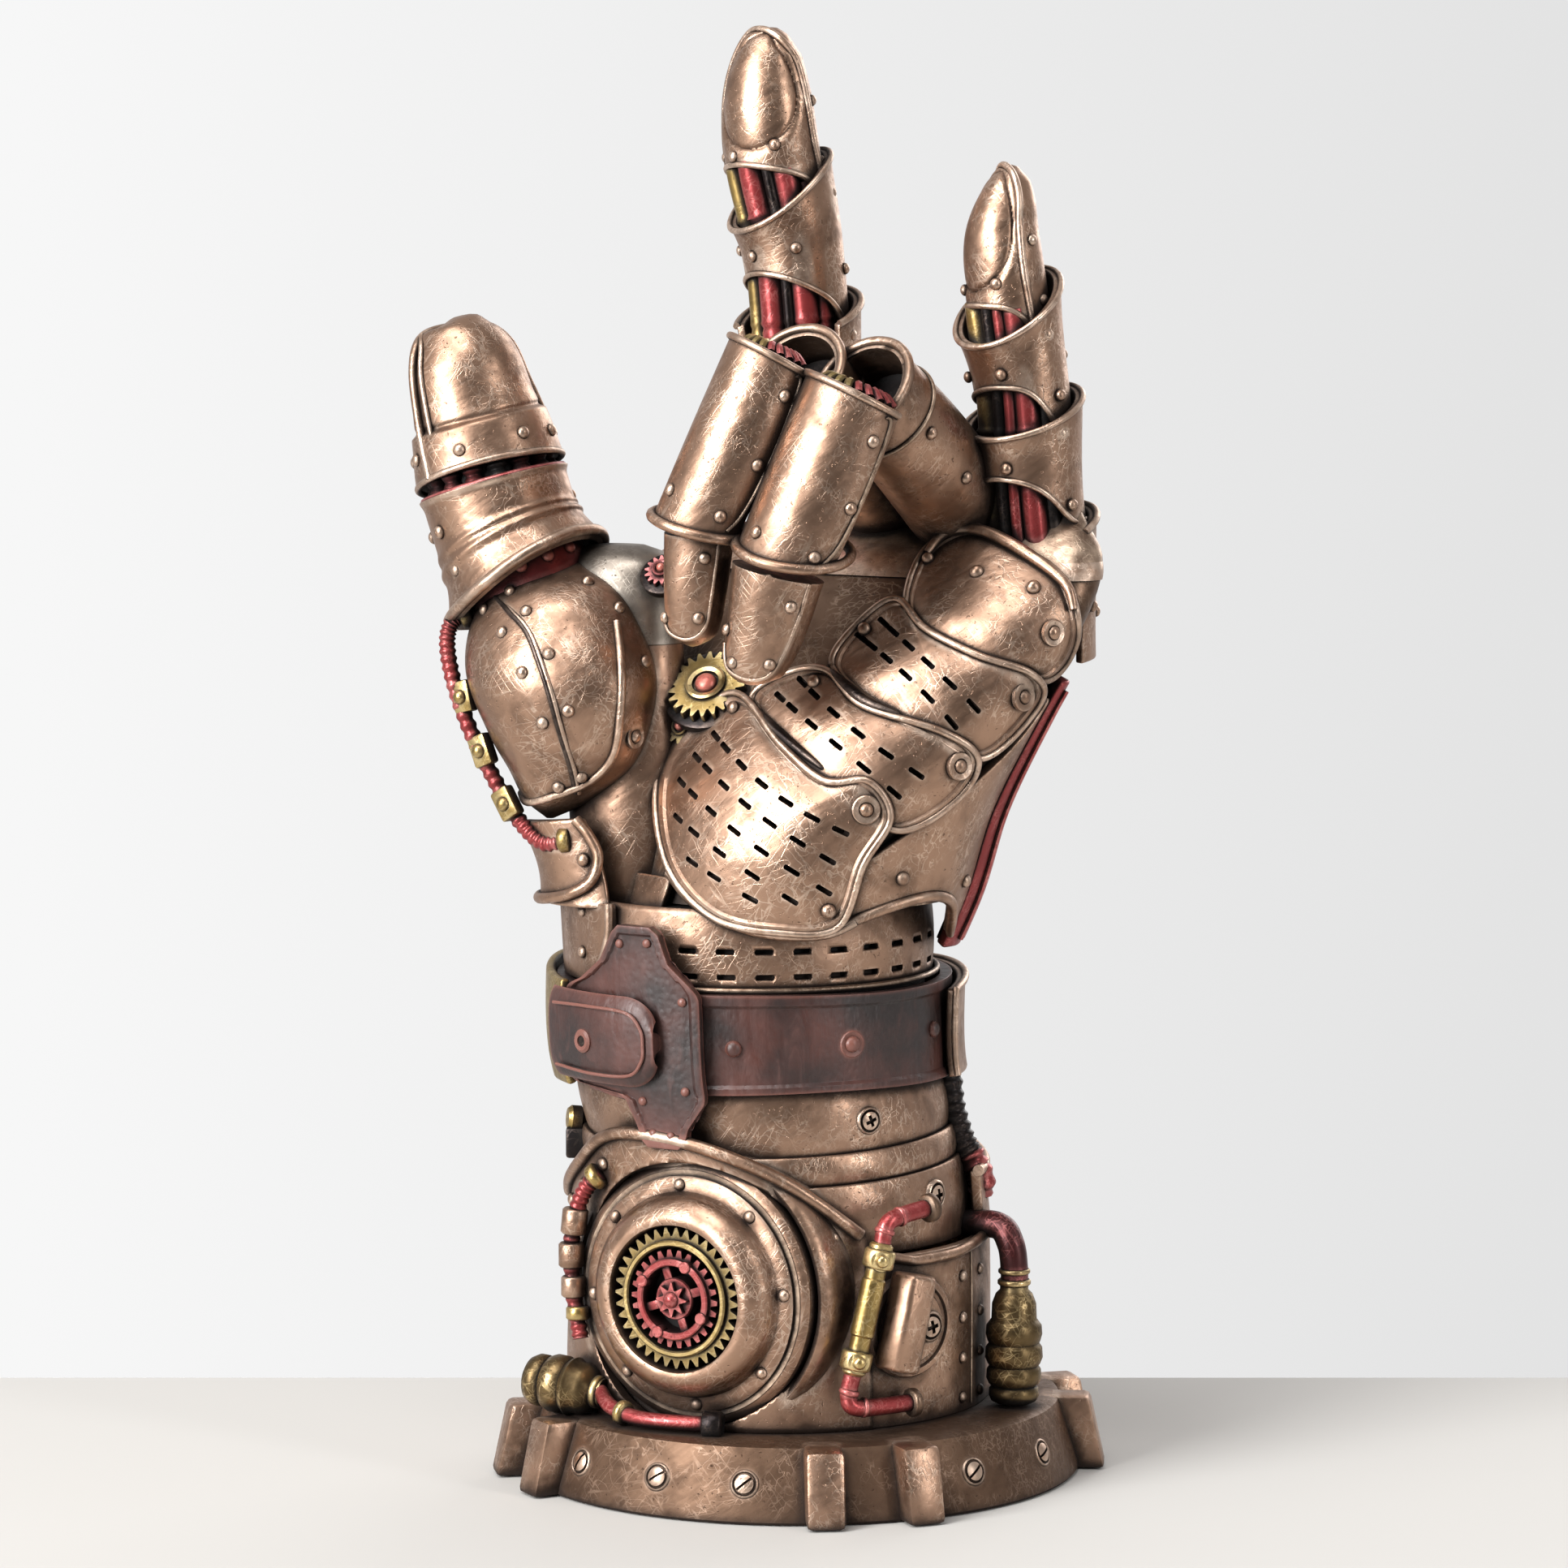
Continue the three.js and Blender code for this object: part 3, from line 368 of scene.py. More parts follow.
teeth = []
for pair in TOOTH_PAIRS:
    for turn in (pair - TOOTH_SPREAD / 2, pair + TOOTH_SPREAD / 2):
        tooth = bmesh.new()
        bmesh.ops.create_cube(tooth, size=1)
        for v in tooth.verts:
            reach = TOOTH_REACH if v.co.z < 0 else TOOTH_REACH - 2.6
            v.co = Vector((reach if v.co.x > 0 else 40, v.co.y * TOOTH_WIDTH, BASE_HEIGHT * (v.co.z + 0.5))) * MM
        bmesh.ops.bevel(tooth, geom=tooth.edges, offset=0.9 * MM, affect="EDGES", segments=2, profile=0.5,
                        material=-1)
        bmesh.ops.rotate(tooth, matrix=Matrix.Rotation(radians(turn - 90), 3, "Z"), verts=tooth.verts)
        teeth.append(tooth)
piece("base_teeth", joined(*teeth), bronze, crease=30)


def screw_cutter(matrix, radius, depth, cross, angle):
    """What a driver's slot or cross takes out of a screw's head."""
    bars = []
    for turn in (angle, angle + 90) if cross else (angle,):
        width = radius * (0.34 if cross else 0.24)
        length = radius * (1.15 if cross else 2.4)
        bars.append(block(length, width, depth * 2, matrix @ Matrix.Rotation(radians(turn), 4, "Z")))
    return joined(*bars)


def screws(name, places, cross=False):
    """Screws with a washer rim round each. places are rows of matrix, radius in millimetres and angle."""
    heads = []
    rims = []
    bites = []
    for matrix, radius, angle in places:
        heads.append(turned([(0, 0.75), (radius * 0.5, 0.68), (radius * 0.86, 0.42), (radius * 0.92, 0), (radius * 0.9, -1),
                             (0, -1)], 28, matrix))
        rims.append(turned([(radius * 0.96, -0.6), (radius * 0.98, 0.12), (radius * 1.14, 0.34), (radius * 1.3, 0.2),
                            (radius * 1.36, -0.6)], 32, matrix))
        lift = matrix @ Matrix.Translation((0, 0, 0.75 * MM))
        bites.append(screw_cutter(lift, radius, 0.75 * MM / MM, cross, angle))
    head_piece = piece(name + "_heads", joined(*heads), bronze, crease=34)
    cut(head_piece, joined(*bites))
    piece(name + "_rims", joined(*rims), bronze, crease=60)


BASE_WALL_LEAN = 18.5      # degrees that the base's wall leans back
base_screws = []
for turn, angle in ((-51, 65), (-30, 35), (-11, 40), (38.5, 35), (61.5, 20), (-100, 10), (128, 30), (152, 70),
                    (-150, 50), (-125, 80)):
    wall_radius = (FOOT_RADIUS + TOP_RADIUS) / 2 + 0.15
    spot = (wall_radius * sin(radians(turn)), -wall_radius * cos(radians(turn)), 6.1)
    base_screws.append((looking(spot, turn, BASE_WALL_LEAN), 1.75, angle))
screws("base_screws", base_screws)


# ------------------------------------------------------------------ the cuff's wall and bands
# The forearm of the glove: an upright wall behind, a flared shield at the back above it, and
# three overlapping bands that step in towards the wrist. Cast with the figure in bronze resin.
def through(rows, key, column):
    """Smooth values at a key, through rows whose own key is in the given column."""
    i = 0
    while i < len(rows) - 2 and key > rows[i + 1][column]:
        i += 1

    def slope(k, c):
        before, after = rows[max(k - 1, 0)], rows[min(k + 1, len(rows) - 1)]
        return (after[c] - before[c]) / (after[column] - before[column])

    low, high = rows[i], rows[i + 1]
    span = high[column] - low[column]
    t = min(max((key - low[column]) / span, 0), 1)
    values = []
    for c in range(len(low)):
        rise = span * (t * (1 - t) * (1 - t) * slope(i, c) - t * t * (1 - t) * slope(i + 1, c))
        values.append(low[c] + (high[c] - low[c]) * t * t * (3 - 2 * t) + rise)
    return values


def mix(low, high, share):
    return low + (high - low) * share


def cosine(angle):
    return cos(radians(angle))


def sine(angle):
    return sin(radians(angle))


class Limb:
    """A spine with an oval section that faces one way. Heights are the spine's own z, in millimetres."""

    def __init__(self, facing, spine, level=False):
        self.facing = facing
        self.spine = spine
        self.level = level

    def centre(self, height):
        return Vector(through(self.spine, height, 2)[:3])

    def at(self, height, turn, off=0.0):
        """The surface point at a height and a turn from the front round to the right, in metres."""
        x, y, z, across, deep = through(self.spine, height, 2)
        step = 0.5
        along = Vector((0, 0, 1))
        if not self.level:
            along = (self.centre(height + step) - self.centre(height - step)).normalized()
        front = Vector((sine(self.facing), -cosine(self.facing), 0))
        front = (front - along * front.dot(along)).normalized()
        side = along.cross(front)
        reach = front * (cosine(turn) * (deep + off)) + side * (sine(turn) * (across + off))
        return (Vector((x, y, z)) + reach) * MM

    def out(self, height, turn):
        """The direction that leaves the surface there."""
        return (self.at(height, turn, 1) - self.at(height, turn, 0)).normalized()

    def turn_at(self, x, z, off=0.0):
        """The turn of a level limb's front that shows at x, z from the front."""
        centre_x, _, _, across, deep = through(self.spine, z, 2)
        a = sine(self.facing) * (deep + off)
        b = cosine(self.facing) * (across + off)
        reach = min(max((x - centre_x) / hypot(a, b), -1), 1)
        return degrees(atan2(b, a) - acos(reach))

    def front(self, x, z, off=0.0):
        return self.at(z, self.turn_at(x, z, off), off)


def sheet(columns, rows, place, around=False):
    """A sheet whose points are place(u, v), joined round on itself when around is true."""
    shape = bmesh.new()
    bmesh.ops.create_grid(shape, x_segments=columns, y_segments=rows, size=0.5)
    for v in shape.verts:
        v.co = place(v.co.x + 0.5, v.co.y + 0.5)
    if around:
        bmesh.ops.remove_doubles(shape, verts=shape.verts, dist=1e-7)
    return shape


def value_at(value, *where):
    return value(*where) if callable(value) else value


def sleeve(limb, bottom, top, off, turns=None, columns=72, rows=12):
    """A sheet bent round a limb. Edges may depend on the turn, and off on the turn and the share up."""
    start, end = turns or (0, 360)

    def place(u, v):
        turn = mix(start, end, u)
        height = mix(value_at(bottom, turn), value_at(top, turn), v)
        return limb.at(height, turn, value_at(off, turn, v))

    return sheet(columns, rows, place, turns is None)


def smooth_route(points, steps, closed=False):
    """Points spaced along a smooth curve through a few."""
    count = len(points)
    spans = count if closed else count - 1
    route = []
    for k in range(steps + (0 if closed else 1)):
        t = k / steps * spans
        i = min(int(t), spans - 1)
        t -= i
        near = [Vector(points[(i + n) % count] if closed else points[min(max(i + n, 0), count - 1)])
                for n in (-1, 0, 1, 2)]
        a, b, c, d = near
        route.append(0.5 * (2 * b + (c - a) * t + (2 * a - 5 * b + 4 * c - d) * t * t
                            + (3 * b - a - 3 * c + d) * t * t * t))
    return route


def swept(route, radius, sides=12, closed=False):
    """A round bar along points in metres. Its radius in millimetres may depend on the share along it."""
    count = len(route)
    ahead = [route[(i + 1) % count if closed else min(i + 1, count - 1)]
             - route[(i - 1) % count if closed else max(i - 1, 0)] for i in range(count)]
    ahead = [direction.normalized() for direction in ahead]
    normal = ahead[0].orthogonal().normalized()
    frames = []
    for direction in ahead:
        normal = (normal - direction * normal.dot(direction)).normalized()
        frames.append((normal, direction.cross(normal)))

    def place(u, v):
        i = round(v * (count if closed else count - 1))
        first, second = frames[i % count]
        size = value_at(radius, v) * MM
        swing = 2 * pi * u
        return route[i % count] + first * (cos(swing) * size) + second * (sin(swing) * size)

    shape = sheet(sides, count if closed else count - 1, place, True)
    if closed:
        bmesh.ops.remove_doubles(shape, verts=shape.verts, dist=1e-6)
    else:
        bmesh.ops.holes_fill(shape, edges=[e for e in shape.edges if e.is_boundary])
    bmesh.ops.recalc_face_normals(shape, faces=shape.faces)
    return shape


def rivet(point, direction, radius=1.05, height=0.8, washer=0.0):
    """A domed rivet head at a surface point in metres, with a flat ring round it if asked."""
    placing = outward(point, direction)
    parts = []
    head = bmesh.new()
    squash = placing @ Matrix.Diagonal((1, 1, height / radius, 1))
    bmesh.ops.create_uvsphere(head, u_segments=16, v_segments=10, radius=radius * MM, matrix=squash)
    parts.append(head)
    if washer:
        ring = [(radius * 1.02, -0.5), (radius * 1.06, 0.16), (washer * 0.92, 0.3), (washer, 0.12), (washer, -0.5)]
        parts.append(turned(ring, 28, placing))
    return joined(*parts)


ARM_SPINE = [(-3, 0, 10, 0, 0), (-3.2, 0, 40, 0, 0), (-4.8, 0, 58, 0, 0), (-6.6, 0, 68, 0, 0),
             (-7.2, 0, 80, 0, 0), (-7.8, 0, 97, 0, 0)]
arm = Limb(0, ARM_SPINE, level=True)
CUFF_RADIUS = 34.6


def arm_rivets(name, places, radius=1.05, washer=0.0, material=bronze):
    """Rivets on the arm from rows of turn, height and distance from its axis."""
    heads = []
    for turn, height, off in places:
        heads.append(rivet(arm.at(height, turn, off), arm.out(height, turn), radius, radius * 0.75, washer))
    return piece(name, joined(*heads), material)


piece("cuff_wall", sleeve(arm, BASE_HEIGHT, 39.6, CUFF_RADIUS, (24, 269), 120, 8), bronze,
      ["cuff_wall"], wall=2, rounding=0.4)
seam_turns = (63.5, 118, 171, 225)
for number, turn in enumerate(seam_turns, 1):
    seam = [arm.at(height, turn, CUFF_RADIUS + 0.02) for height in range(13, 40, 2)]
    piece(f"cuff_seam_{number}", swept(seam, 0.24, 8), dark_bronze)
column_places = []
for turn in seam_turns:
    for side in (-5.2, 6.2):
        for height in (14.5, 21, 27.6, 34.4):
            column_places.append((turn + side, height, CUFF_RADIUS))
arm_rivets("cuff_rivets", column_places, 0.95)


def rear_top(turn):
    return 54 - 4 * cosine(1.45 * (turn - 76))


rear_rim = [arm.at(rear_top(turn), turn, 34.5) for turn in range(74, 203, 4)]
piece("rear_shield", sleeve(arm, 39.8, rear_top, lambda turn, v: 34.9 - 0.9 * v + 0.8 * v * v, (74, 202), 72, 8),
      bronze, ["rear_shield"], wall=1.8, rounding=0.4)
piece("rear_shield_rail", swept(rear_rim, 0.95, 12), bronze)
arm_rivets("rear_shield_rivets", [(turn, rear_top(turn) - 3.2, 34.7) for turn in range(84, 200, 16)], 0.9)


def band_edge(height):
    return lambda turn: height - 1.7 * cosine(turn + 20)


def crowned(radius, swell):
    """A band's distance from the arm's axis: rounder in the middle of its height."""
    return lambda turn, v: radius + swell * (1 - (2 * v - 1) ** 2)


piece("band_upper", sleeve(arm, band_edge(56.9), 67, crowned(29.8, 0.6), None, 144, 8), bronze,
      ["band_upper"], wall=1.6, rounding=0.35)
piece("band_middle", sleeve(arm, band_edge(52.1), band_edge(57.3), crowned(30.5, 0.5), None, 144, 6), bronze,
      ["band_middle"], wall=1.4, rounding=0.4)
piece("band_lower", sleeve(arm, 39.4, band_edge(52.4), crowned(31.2, 0.5), None, 144, 8), bronze,
      ["band_lower"], wall=1.4, rounding=0.4)
screws("band_screws", [(outward(arm.at(60.9, 33, 30.4), arm.out(60.9, 33)), 1.7, 20),
                       (outward(arm.at(47.6, 54.5, 31.7), arm.out(47.6, 54.5)), 1.9, 5)], cross=True)


# ------------------------------------------------------------------ the collar plate
# One curved bronze plate over the top of the dial, rising to its left. A raised rail follows
# its upper edge, and domed rivets hold it to the cuff.
COLLAR_EDGE = [(-92, 45), (-67, 52.4), (-53, 57.4), (-42, 59.2), (-25, 58.8), (-9, 56.2), (5, 52), (25.4, 42.6)]


def collar_top(turn):
    return through(COLLAR_EDGE, turn, 0)[1]


def collar_place(u, v):
    turn = mix(-92, 25, u)
    return arm.at(mix(12.2, collar_top(turn), v), turn, mix(35, 33.5, v * v))


collar = piece("collar_plate", sheet(110, 44, collar_place), bronze, ["front_shield"],
               wall=1.9)
cut(collar, turned([(0, -12), (21.4, -12), (21.4, 12), (0, 12)], 64, looking((-16.6, -28, 33.6), -30)))
collar_rail = [arm.at(collar_top(turn) - 0.3, turn, 33.9) for turn in range(-91, 25, 2)]
piece("collar_rail", swept(collar_rail, lambda v: 1.05, 12), bronze)
low_rail = [arm.at(mix(40.6, 38.6, min((turn - 24) / 14, 1)) + (0.06 * (turn - 55) if turn > 55 else 0), turn, 34.9)
            for turn in range(26, 76, 2)]
piece("cuff_rail_low", swept(low_rail, 0.9, 12), bronze)
arm_rivets("collar_rivets", [(turn, collar_top(turn) - drop, 33.9) for turn, drop in
                             ((-79, 4), (-66, 4.2), (-53, 4.4), (15, 4.4))], 1.1)


# ------------------------------------------------------------------ the dial
# A round instrument let into the front of the cuff: a stepped bronze torus with rivets round
# it, and a gold toothed ring with a red wheel inside. All cast fast, and painted by hand.
gold = rubbed_finish("aged_gold", (0.018, 0.012, 0.008), (0.40, 0.275, 0.10), (0.84, 0.66, 0.34),
                     Wash=1.4, Rub=0.9, Blotch=0.8, Polish=0.26, Relief=0.5)
red = rubbed_finish("red_metal", (0.018, 0.007, 0.007), (0.32, 0.045, 0.045), (0.70, 0.24, 0.22),
                    metallic=0.6, Wash=1.4, Rub=0.7, Blotch=0.6, Polish=0.24, Relief=0.4)
black = rubbed_finish("black_metal", (0.006, 0.005, 0.005), (0.022, 0.018, 0.018), (0.16, 0.12, 0.10),
                      Wash=0.9, Rub=0.8, Blotch=0.5, Polish=0.3, Relief=0.5)

DIAL = looking((-16.6, -28, 33.6), -30)


def dial_spot(radius, angle, depth):
    return DIAL @ (Vector((radius * cosine(angle), radius * sine(angle), depth)) * MM)


DIAL_OUT = (DIAL.to_3x3() @ Vector((0, 0, 1))).normalized()

piece("dial_boss", turned([(0, -4), (20.6, -4), (21.3, -0.8), (21.2, -0.1), (20.6, 0.5), (19.6, 0.8), (0, 0.8)], 96, DIAL),
      bronze, ["dial_boss"], crease=30)
piece("dial_ring", turned([(11.9, 0.9), (18.9, 0.9), (19, 1.5), (18.6, 1.85), (16.6, 2.05), (16.2, 2.7), (16.1, 3.8),
                           (15.5, 4.9), (14.6, 5.9), (13.4, 6.6), (12.5, 6.8), (11.9, 6.6), (11.7, 6.1), (11.7, 0.9)],
                          96, DIAL), bronze, ["dial_ring"], crease=44)
piece("dial_groove", turned([(19.0, 0.78), (19.9, 0.78), (19.9, 0.86), (19.0, 0.86)], 96, DIAL), dark_bronze)
piece("dial_bezel", turned([(21.5, -9), (21.5, -2.2), (21.9, -1.5), (22.6, -1.3), (23.3, -1.8), (23.9, -3.2), (24.2, -5), (24.3, -9)],
                           96, DIAL), bronze, crease=50)
dial_heads = [rivet(dial_spot(17.6, angle, 1.9), DIAL_OUT, 1.05, 0.8) for angle in range(95, 455, 45)]
piece("dial_rivets", joined(*dial_heads), bronze)


def wheel(teeth, root, tip, low, high, matrix, point=0.3, gap=0.12, bore=0.0):
    """A toothed wheel. point is the share of a tooth's pitch that its flat tip takes."""
    shape = bmesh.new()
    outline = []
    for k in range(teeth):
        for share, radius in ((gap - 0.5, root), (-point / 2, tip), (point / 2, tip), (0.5 - gap, root)):
            swing = 360 * (k + share) / teeth
            outline.append((radius * cosine(swing), radius * sine(swing)))
    count = len(outline)
    levels = [low, high - 0.25, high]
    rings = []
    for step, level in enumerate(levels):
        shrink = 0.985 if step == 2 else 1
        rings.append([shape.verts.new((x * shrink * MM, y * shrink * MM, level * MM)) for x, y in outline])
    for lower, upper in zip(rings, rings[1:]):
        for k in range(count):
            shape.faces.new((lower[k], lower[(k + 1) % count], upper[(k + 1) % count], upper[k]))
    if bore:
        inner = []
        for level in (low, high):
            inner.append([shape.verts.new((bore * cosine(360 * k / count) * MM, bore * sine(360 * k / count) * MM,
                                           level * MM)) for k in range(count)])
        for k in range(count):
            n = (k + 1) % count
            shape.faces.new((inner[0][n], inner[0][k], inner[1][k], inner[1][n]))
            shape.faces.new((rings[2][k], rings[2][n], inner[1][n], inner[1][k]))
            shape.faces.new((rings[0][n], rings[0][k], inner[0][k], inner[0][n]))
    else:
        shape.faces.new(rings[2])
        shape.faces.new(list(reversed(rings[0])))
    bmesh.ops.transform(shape, matrix=matrix, verts=shape.verts)
    return shape


piece("dial_floor", turned([(0, 0.7), (11.6, 0.7), (11.6, 2.9), (0, 2.9)], 64, DIAL), black)
gold_parts = [wheel(36, 10.1, 11.5, 3.0, 5.6, DIAL, 0.2, 0.1, 8.5),
              turned([(8.4, 4.8), (9.4, 4.8), (9.4, 6.3), (9.15, 6.6), (8.65, 6.6), (8.4, 6.3), (8.4, 4.8)], 72, DIAL)]
piece("dial_gear_gold", joined(*gold_parts), gold, ["dial_gear_gold"], crease=30)

red_wheel = joined(wheel(26, 6.8, 8, 3.0, 6.2, DIAL, 0.34, 0.14, 5.4),
                   turned([(5.4, 5.0), (6.5, 5.0), (6.5, 6.9), (6.3, 7.1), (5.6, 7.1), (5.4, 6.9), (5.4, 5.0)], 48, DIAL),
                   turned([(0, 3.0), (3.4, 3.0), (3.4, 6.0), (3.2, 6.3), (0, 6.3)], 36, DIAL),
                   *[block(3.6, 1.5, 2.2, DIAL @ Matrix.Rotation(radians(angle), 4, "Z")
                           @ Matrix.Translation((4.3 * MM, 0, 5.0 * MM)), 0.25) for angle in (20, 110, 200, 290)],
                   *[turned([(0, 5.6), (0.95, 5.6), (0.95, 7.3), (0.8, 7.5), (0, 7.5)], 18, DIAL
                            @ Matrix.Rotation(radians(angle), 4, "Z") @ Matrix.Translation((5.95 * MM, 0, 0)))
                     for angle in (65, 155, 245, 335)])
piece("dial_gear_red", red_wheel, red, ["dial_gear_red"], crease=30)
piece("dial_pinion", wheel(8, 1.6, 2.8, 6.2, 7.2, DIAL, 0.1, 0.1), red, crease=30)
piece("dial_hub", turned([(0, 8.3), (0.6, 8.15), (1.1, 7.8), (1.3, 7.2), (1.3, 6.6), (0, 6.6)], 24, DIAL), red)


# ------------------------------------------------------------------ the pipes and the relay block
# Beside the dial a hexagonal bronze block stands on a round screwed plate, with a gold barrel
# before it. Red pipes leave both ends of the barrel. All resin, painted.
def hose(name, points, radius, material, nodes=(), steps=60, ribs=0.0, spacing=1.0, sides=14):
    """A bent tube through points in millimetres, with ribs of a height at a spacing if asked."""
    route = smooth_route([Vector(p) * MM for p in points], steps)
    length = sum((b - a).length for a, b in zip(route, route[1:])) / MM

    def size(v):
        return radius + ribs * (0.5 - 0.5 * cos(2 * pi * v * length / spacing))

    return piece(name, swept(route, size, sides), material, nodes, crease=70)


def collars(name, rows, material):
    """Short turned collars. Rows of a place and a direction in millimetres, a radius and a length."""
    rings = []
    for place, direction, radius, length in rows:
        half = length / 2
        edge = min(0.3, half / 2)
        rings.append(turned([(0, -half), (radius - edge, -half), (radius, -half + edge), (radius, half - edge),
                             (radius - edge, half), (0, half)], 28,
                            outward(Vector(place) * MM, Vector(direction).normalized())))
    return piece(name, joined(*rings), material, crease=50)


BARREL_TOP = Vector((13.2, -36, 43.2))
BARREL_LOW = Vector((8.6, -37.8, 22.3))
barrel_way = BARREL_TOP - BARREL_LOW
barrel_length = barrel_way.length
BARREL_PROFILE = [(0, 0), (1.5, 0), (1.9, 0.4), (1.9, 2.2), (2.15, 2.5), (2.15, 3.1), (1.65, 3.5), (1.65, 6.2), (1.9, 6.5),
                  (1.9, 15.4), (1.65, 15.7), (1.65, 18.2), (2.15, 18.5), (2.15, 19.1), (1.9, 19.4), (1.9, 21), (1.5, 21.4),
                  (0, 21.4)]
piece("pipe_barrel", turned(BARREL_PROFILE, 32, outward(BARREL_LOW * MM, barrel_way)), gold,
      ["pipe_barrel"], crease=30)
hose("pipe_upper", [(13.2, -36, 43), (14, -35.4, 46), (16.2, -33.6, 47), (21.2, -28.6, 47.6)], 1.4, red,
     ["pipe_upper"])
hose("pipe_lower", [(8.6, -37.8, 22.5), (7.9, -37.8, 18.8), (9.6, -37.4, 16.9), (18.6, -31.4, 16.6)], 1.4, red,
     ["pipe_lower"])
collars("pipe_clamps", [((12.7, -36.2, 40.6), barrel_way, 2.5, 3.0), ((9.1, -37.6, 24.6), barrel_way, 2.5, 3.0)],
        gold)
bolts = [turned([(0, 3.3), (0.6, 3.2), (0.95, 2.9), (1.1, 2.2), (1.7, 2.1), (1.8, 0), (0, 0)], 20,
                looking(spot, 12)) for spot in ((12.7, -36.2, 40.6), (9.1, -37.6, 24.6))]
piece("pipe_clamp_bolts", joined(*bolts), gold, crease=40)
collars("pipe_sleeves", [((13.6, -35.6, 44.9), (0.3, 0.2, 1), 1.65, 1.0), ((16.0, -33.8, 46.9), (1, 0.9, 0.25), 1.62, 0.8),
                         ((8.0, -37.9, 19.6), (0.3, 0, 1), 1.65, 1.0), ((10.3, -37.0, 16.9), (1, 0.5, -0.1), 1.62, 0.8)],
        red)
collars("pipe_sockets", [((20.8, -29.2, 47.5), (1, 1, 0.1), 2.3, 1.6), ((18.2, -31.8, 16.6), (1, 0.7, 0), 2.3, 1.4)],
        dark_bronze)

block_place = (Matrix.Translation(Vector((17.0, -32.2, 29.6)) * MM) @ Matrix.Rotation(radians(31), 4, "Z")
               @ Matrix.Rotation(radians(13), 4, "Y"))
relay = bmesh.new()
bmesh.ops.create_cone(relay, cap_ends=True, segments=6, radius1=1, radius2=1, depth=1)
bmesh.ops.rotate(relay, matrix=Matrix.Rotation(radians(30), 3, "Z"), verts=relay.verts)
bmesh.ops.scale(relay, vec=Vector((4.2, 3.9, 15.6)) * MM, verts=relay.verts)
bmesh.ops.bevel(relay, geom=relay.edges, offset=0.8 * MM, affect="EDGES", segments=3, profile=0.5, material=-1)
bmesh.ops.transform(relay, matrix=block_place, verts=relay.verts)
piece("relay_block", relay, bronze, ["relay_block"], crease=25)

SCREW_PLATE = looking((17, -27.8, 28.4), 37)
piece("screw_plate", turned([(0, -2.2), (8.2, -2.2), (8.4, -1.8), (8.4, 1.3), (8.1, 1.7), (7.2, 1.9), (6.9, 1.5), (6.3, 1.5),
                             (6.0, 1.9), (5, 2.1), (0, 2.1)], 64, SCREW_PLATE), bronze,
      ["screw_plate"], crease=30)
screws("screw_plate_screw", [(SCREW_PLATE @ Matrix.Translation((3.4 * MM, -0.4 * MM, 2.3 * MM)), 1.9, 12)], cross=True)


# ------------------------------------------------------------------ the canisters and cables of the cuff
# Two small black cylinders with gold bands lie against the base, the left one level and the
# right one upright. Red and black tubes join them to sockets higher on the cuff.
smoked = rubbed_finish("smoked_gold", (0.010, 0.008, 0.006), (0.17, 0.115, 0.055), (0.74, 0.55, 0.28),
                       Wash=1.5, Rub=1.0, Blotch=1.0, Polish=0.27, Relief=0.8)
blackened_red = rubbed_finish("blackened_red", (0.010, 0.006, 0.006), (0.085, 0.018, 0.018), (0.60, 0.20, 0.19),
                              metallic=0.6, Wash=1.5, Rub=0.9, Blotch=1.0, Polish=0.22, Relief=0.5)
RIGHT_CANISTER = [(0, 0.1), (2.6, 0.1), (3.7, 0.7), (4.1, 1.6), (4.0, 2.7), (3.6, 3.1), (4.1, 3.5), (4.5, 4.4), (4.4, 5.8),
                  (4.0, 6.4), (4.3, 6.8), (4.7, 7.8), (4.6, 9.4), (4.1, 10.1), (4.3, 10.5), (4.6, 11.6), (4.5, 13.0),
                  (4.0, 13.7), (3.7, 14.1), (3.6, 16.6), (3.0, 18.2), (2.3, 18.9), (2.3, 20.4), (0, 20.4)]
RIGHT_PLACE = Matrix.Translation(Vector((35, -13, 12.3)) * MM)
piece("canister_right", turned(RIGHT_CANISTER, 56, RIGHT_PLACE), smoked, ["canister_right"], crease=50)
hose("canister_elbow", [(35, -13, 31), (35, -13, 34.6), (34.4, -12.4, 38.6), (32.4, -10.6, 41.2), (26.5, -7.6, 41)], 2.25,
     blackened_red, steps=80)
collars("canister_right_cap", [((35, -13, 32.4), (0, 0, 1), 2.7, 1.0), ((35, -13, 34.2), (0, 0, 1), 2.6, 0.8)], smoked)

LEFT_WAY = Vector((cosine(28) * 0.99, -sine(28) * 0.99, -0.087))
left_place = outward(Vector((-38, -18.2, 16.6)) * MM, LEFT_WAY)
LEFT_CANISTER = [(0, -6.4), (2.4, -6.4), (3.6, -5.7), (4.2, -4.6), (4.2, -3.4), (3.7, -2.8), (4.3, -2.4), (4.7, -1.5), (4.7, 0.3),
                 (4.2, 1.1), (4.6, 1.6), (4.8, 2.1), (4.3, 2.7), (4.2, 4.2), (3.6, 5.4), (2.4, 6.2), (2.3, 7.6), (0, 7.6)]
piece("canister_left", turned(LEFT_CANISTER, 56, left_place), smoked, ["canister_left"], crease=50)
collars("canister_left_band", [(Vector((-38, -18.2, 16.6)) + LEFT_WAY * 6.6, LEFT_WAY, 2.7, 1.4)], gold)
hose("canister_left_pipe", [(-31.8, -22.6, 16.4), (-30, -26.6, 14.8), (-26, -30.2, 13.8), (-20.5, -33.2, 13.7),
                            (-13.5, -35, 13.7)], 1.25, red, ["canister_left_pipe"])
collars("canister_left_clamps", [((-28, -28.6, 14.2), (0.7, -0.7, -0.1), 2.0, 1.5)], gold)
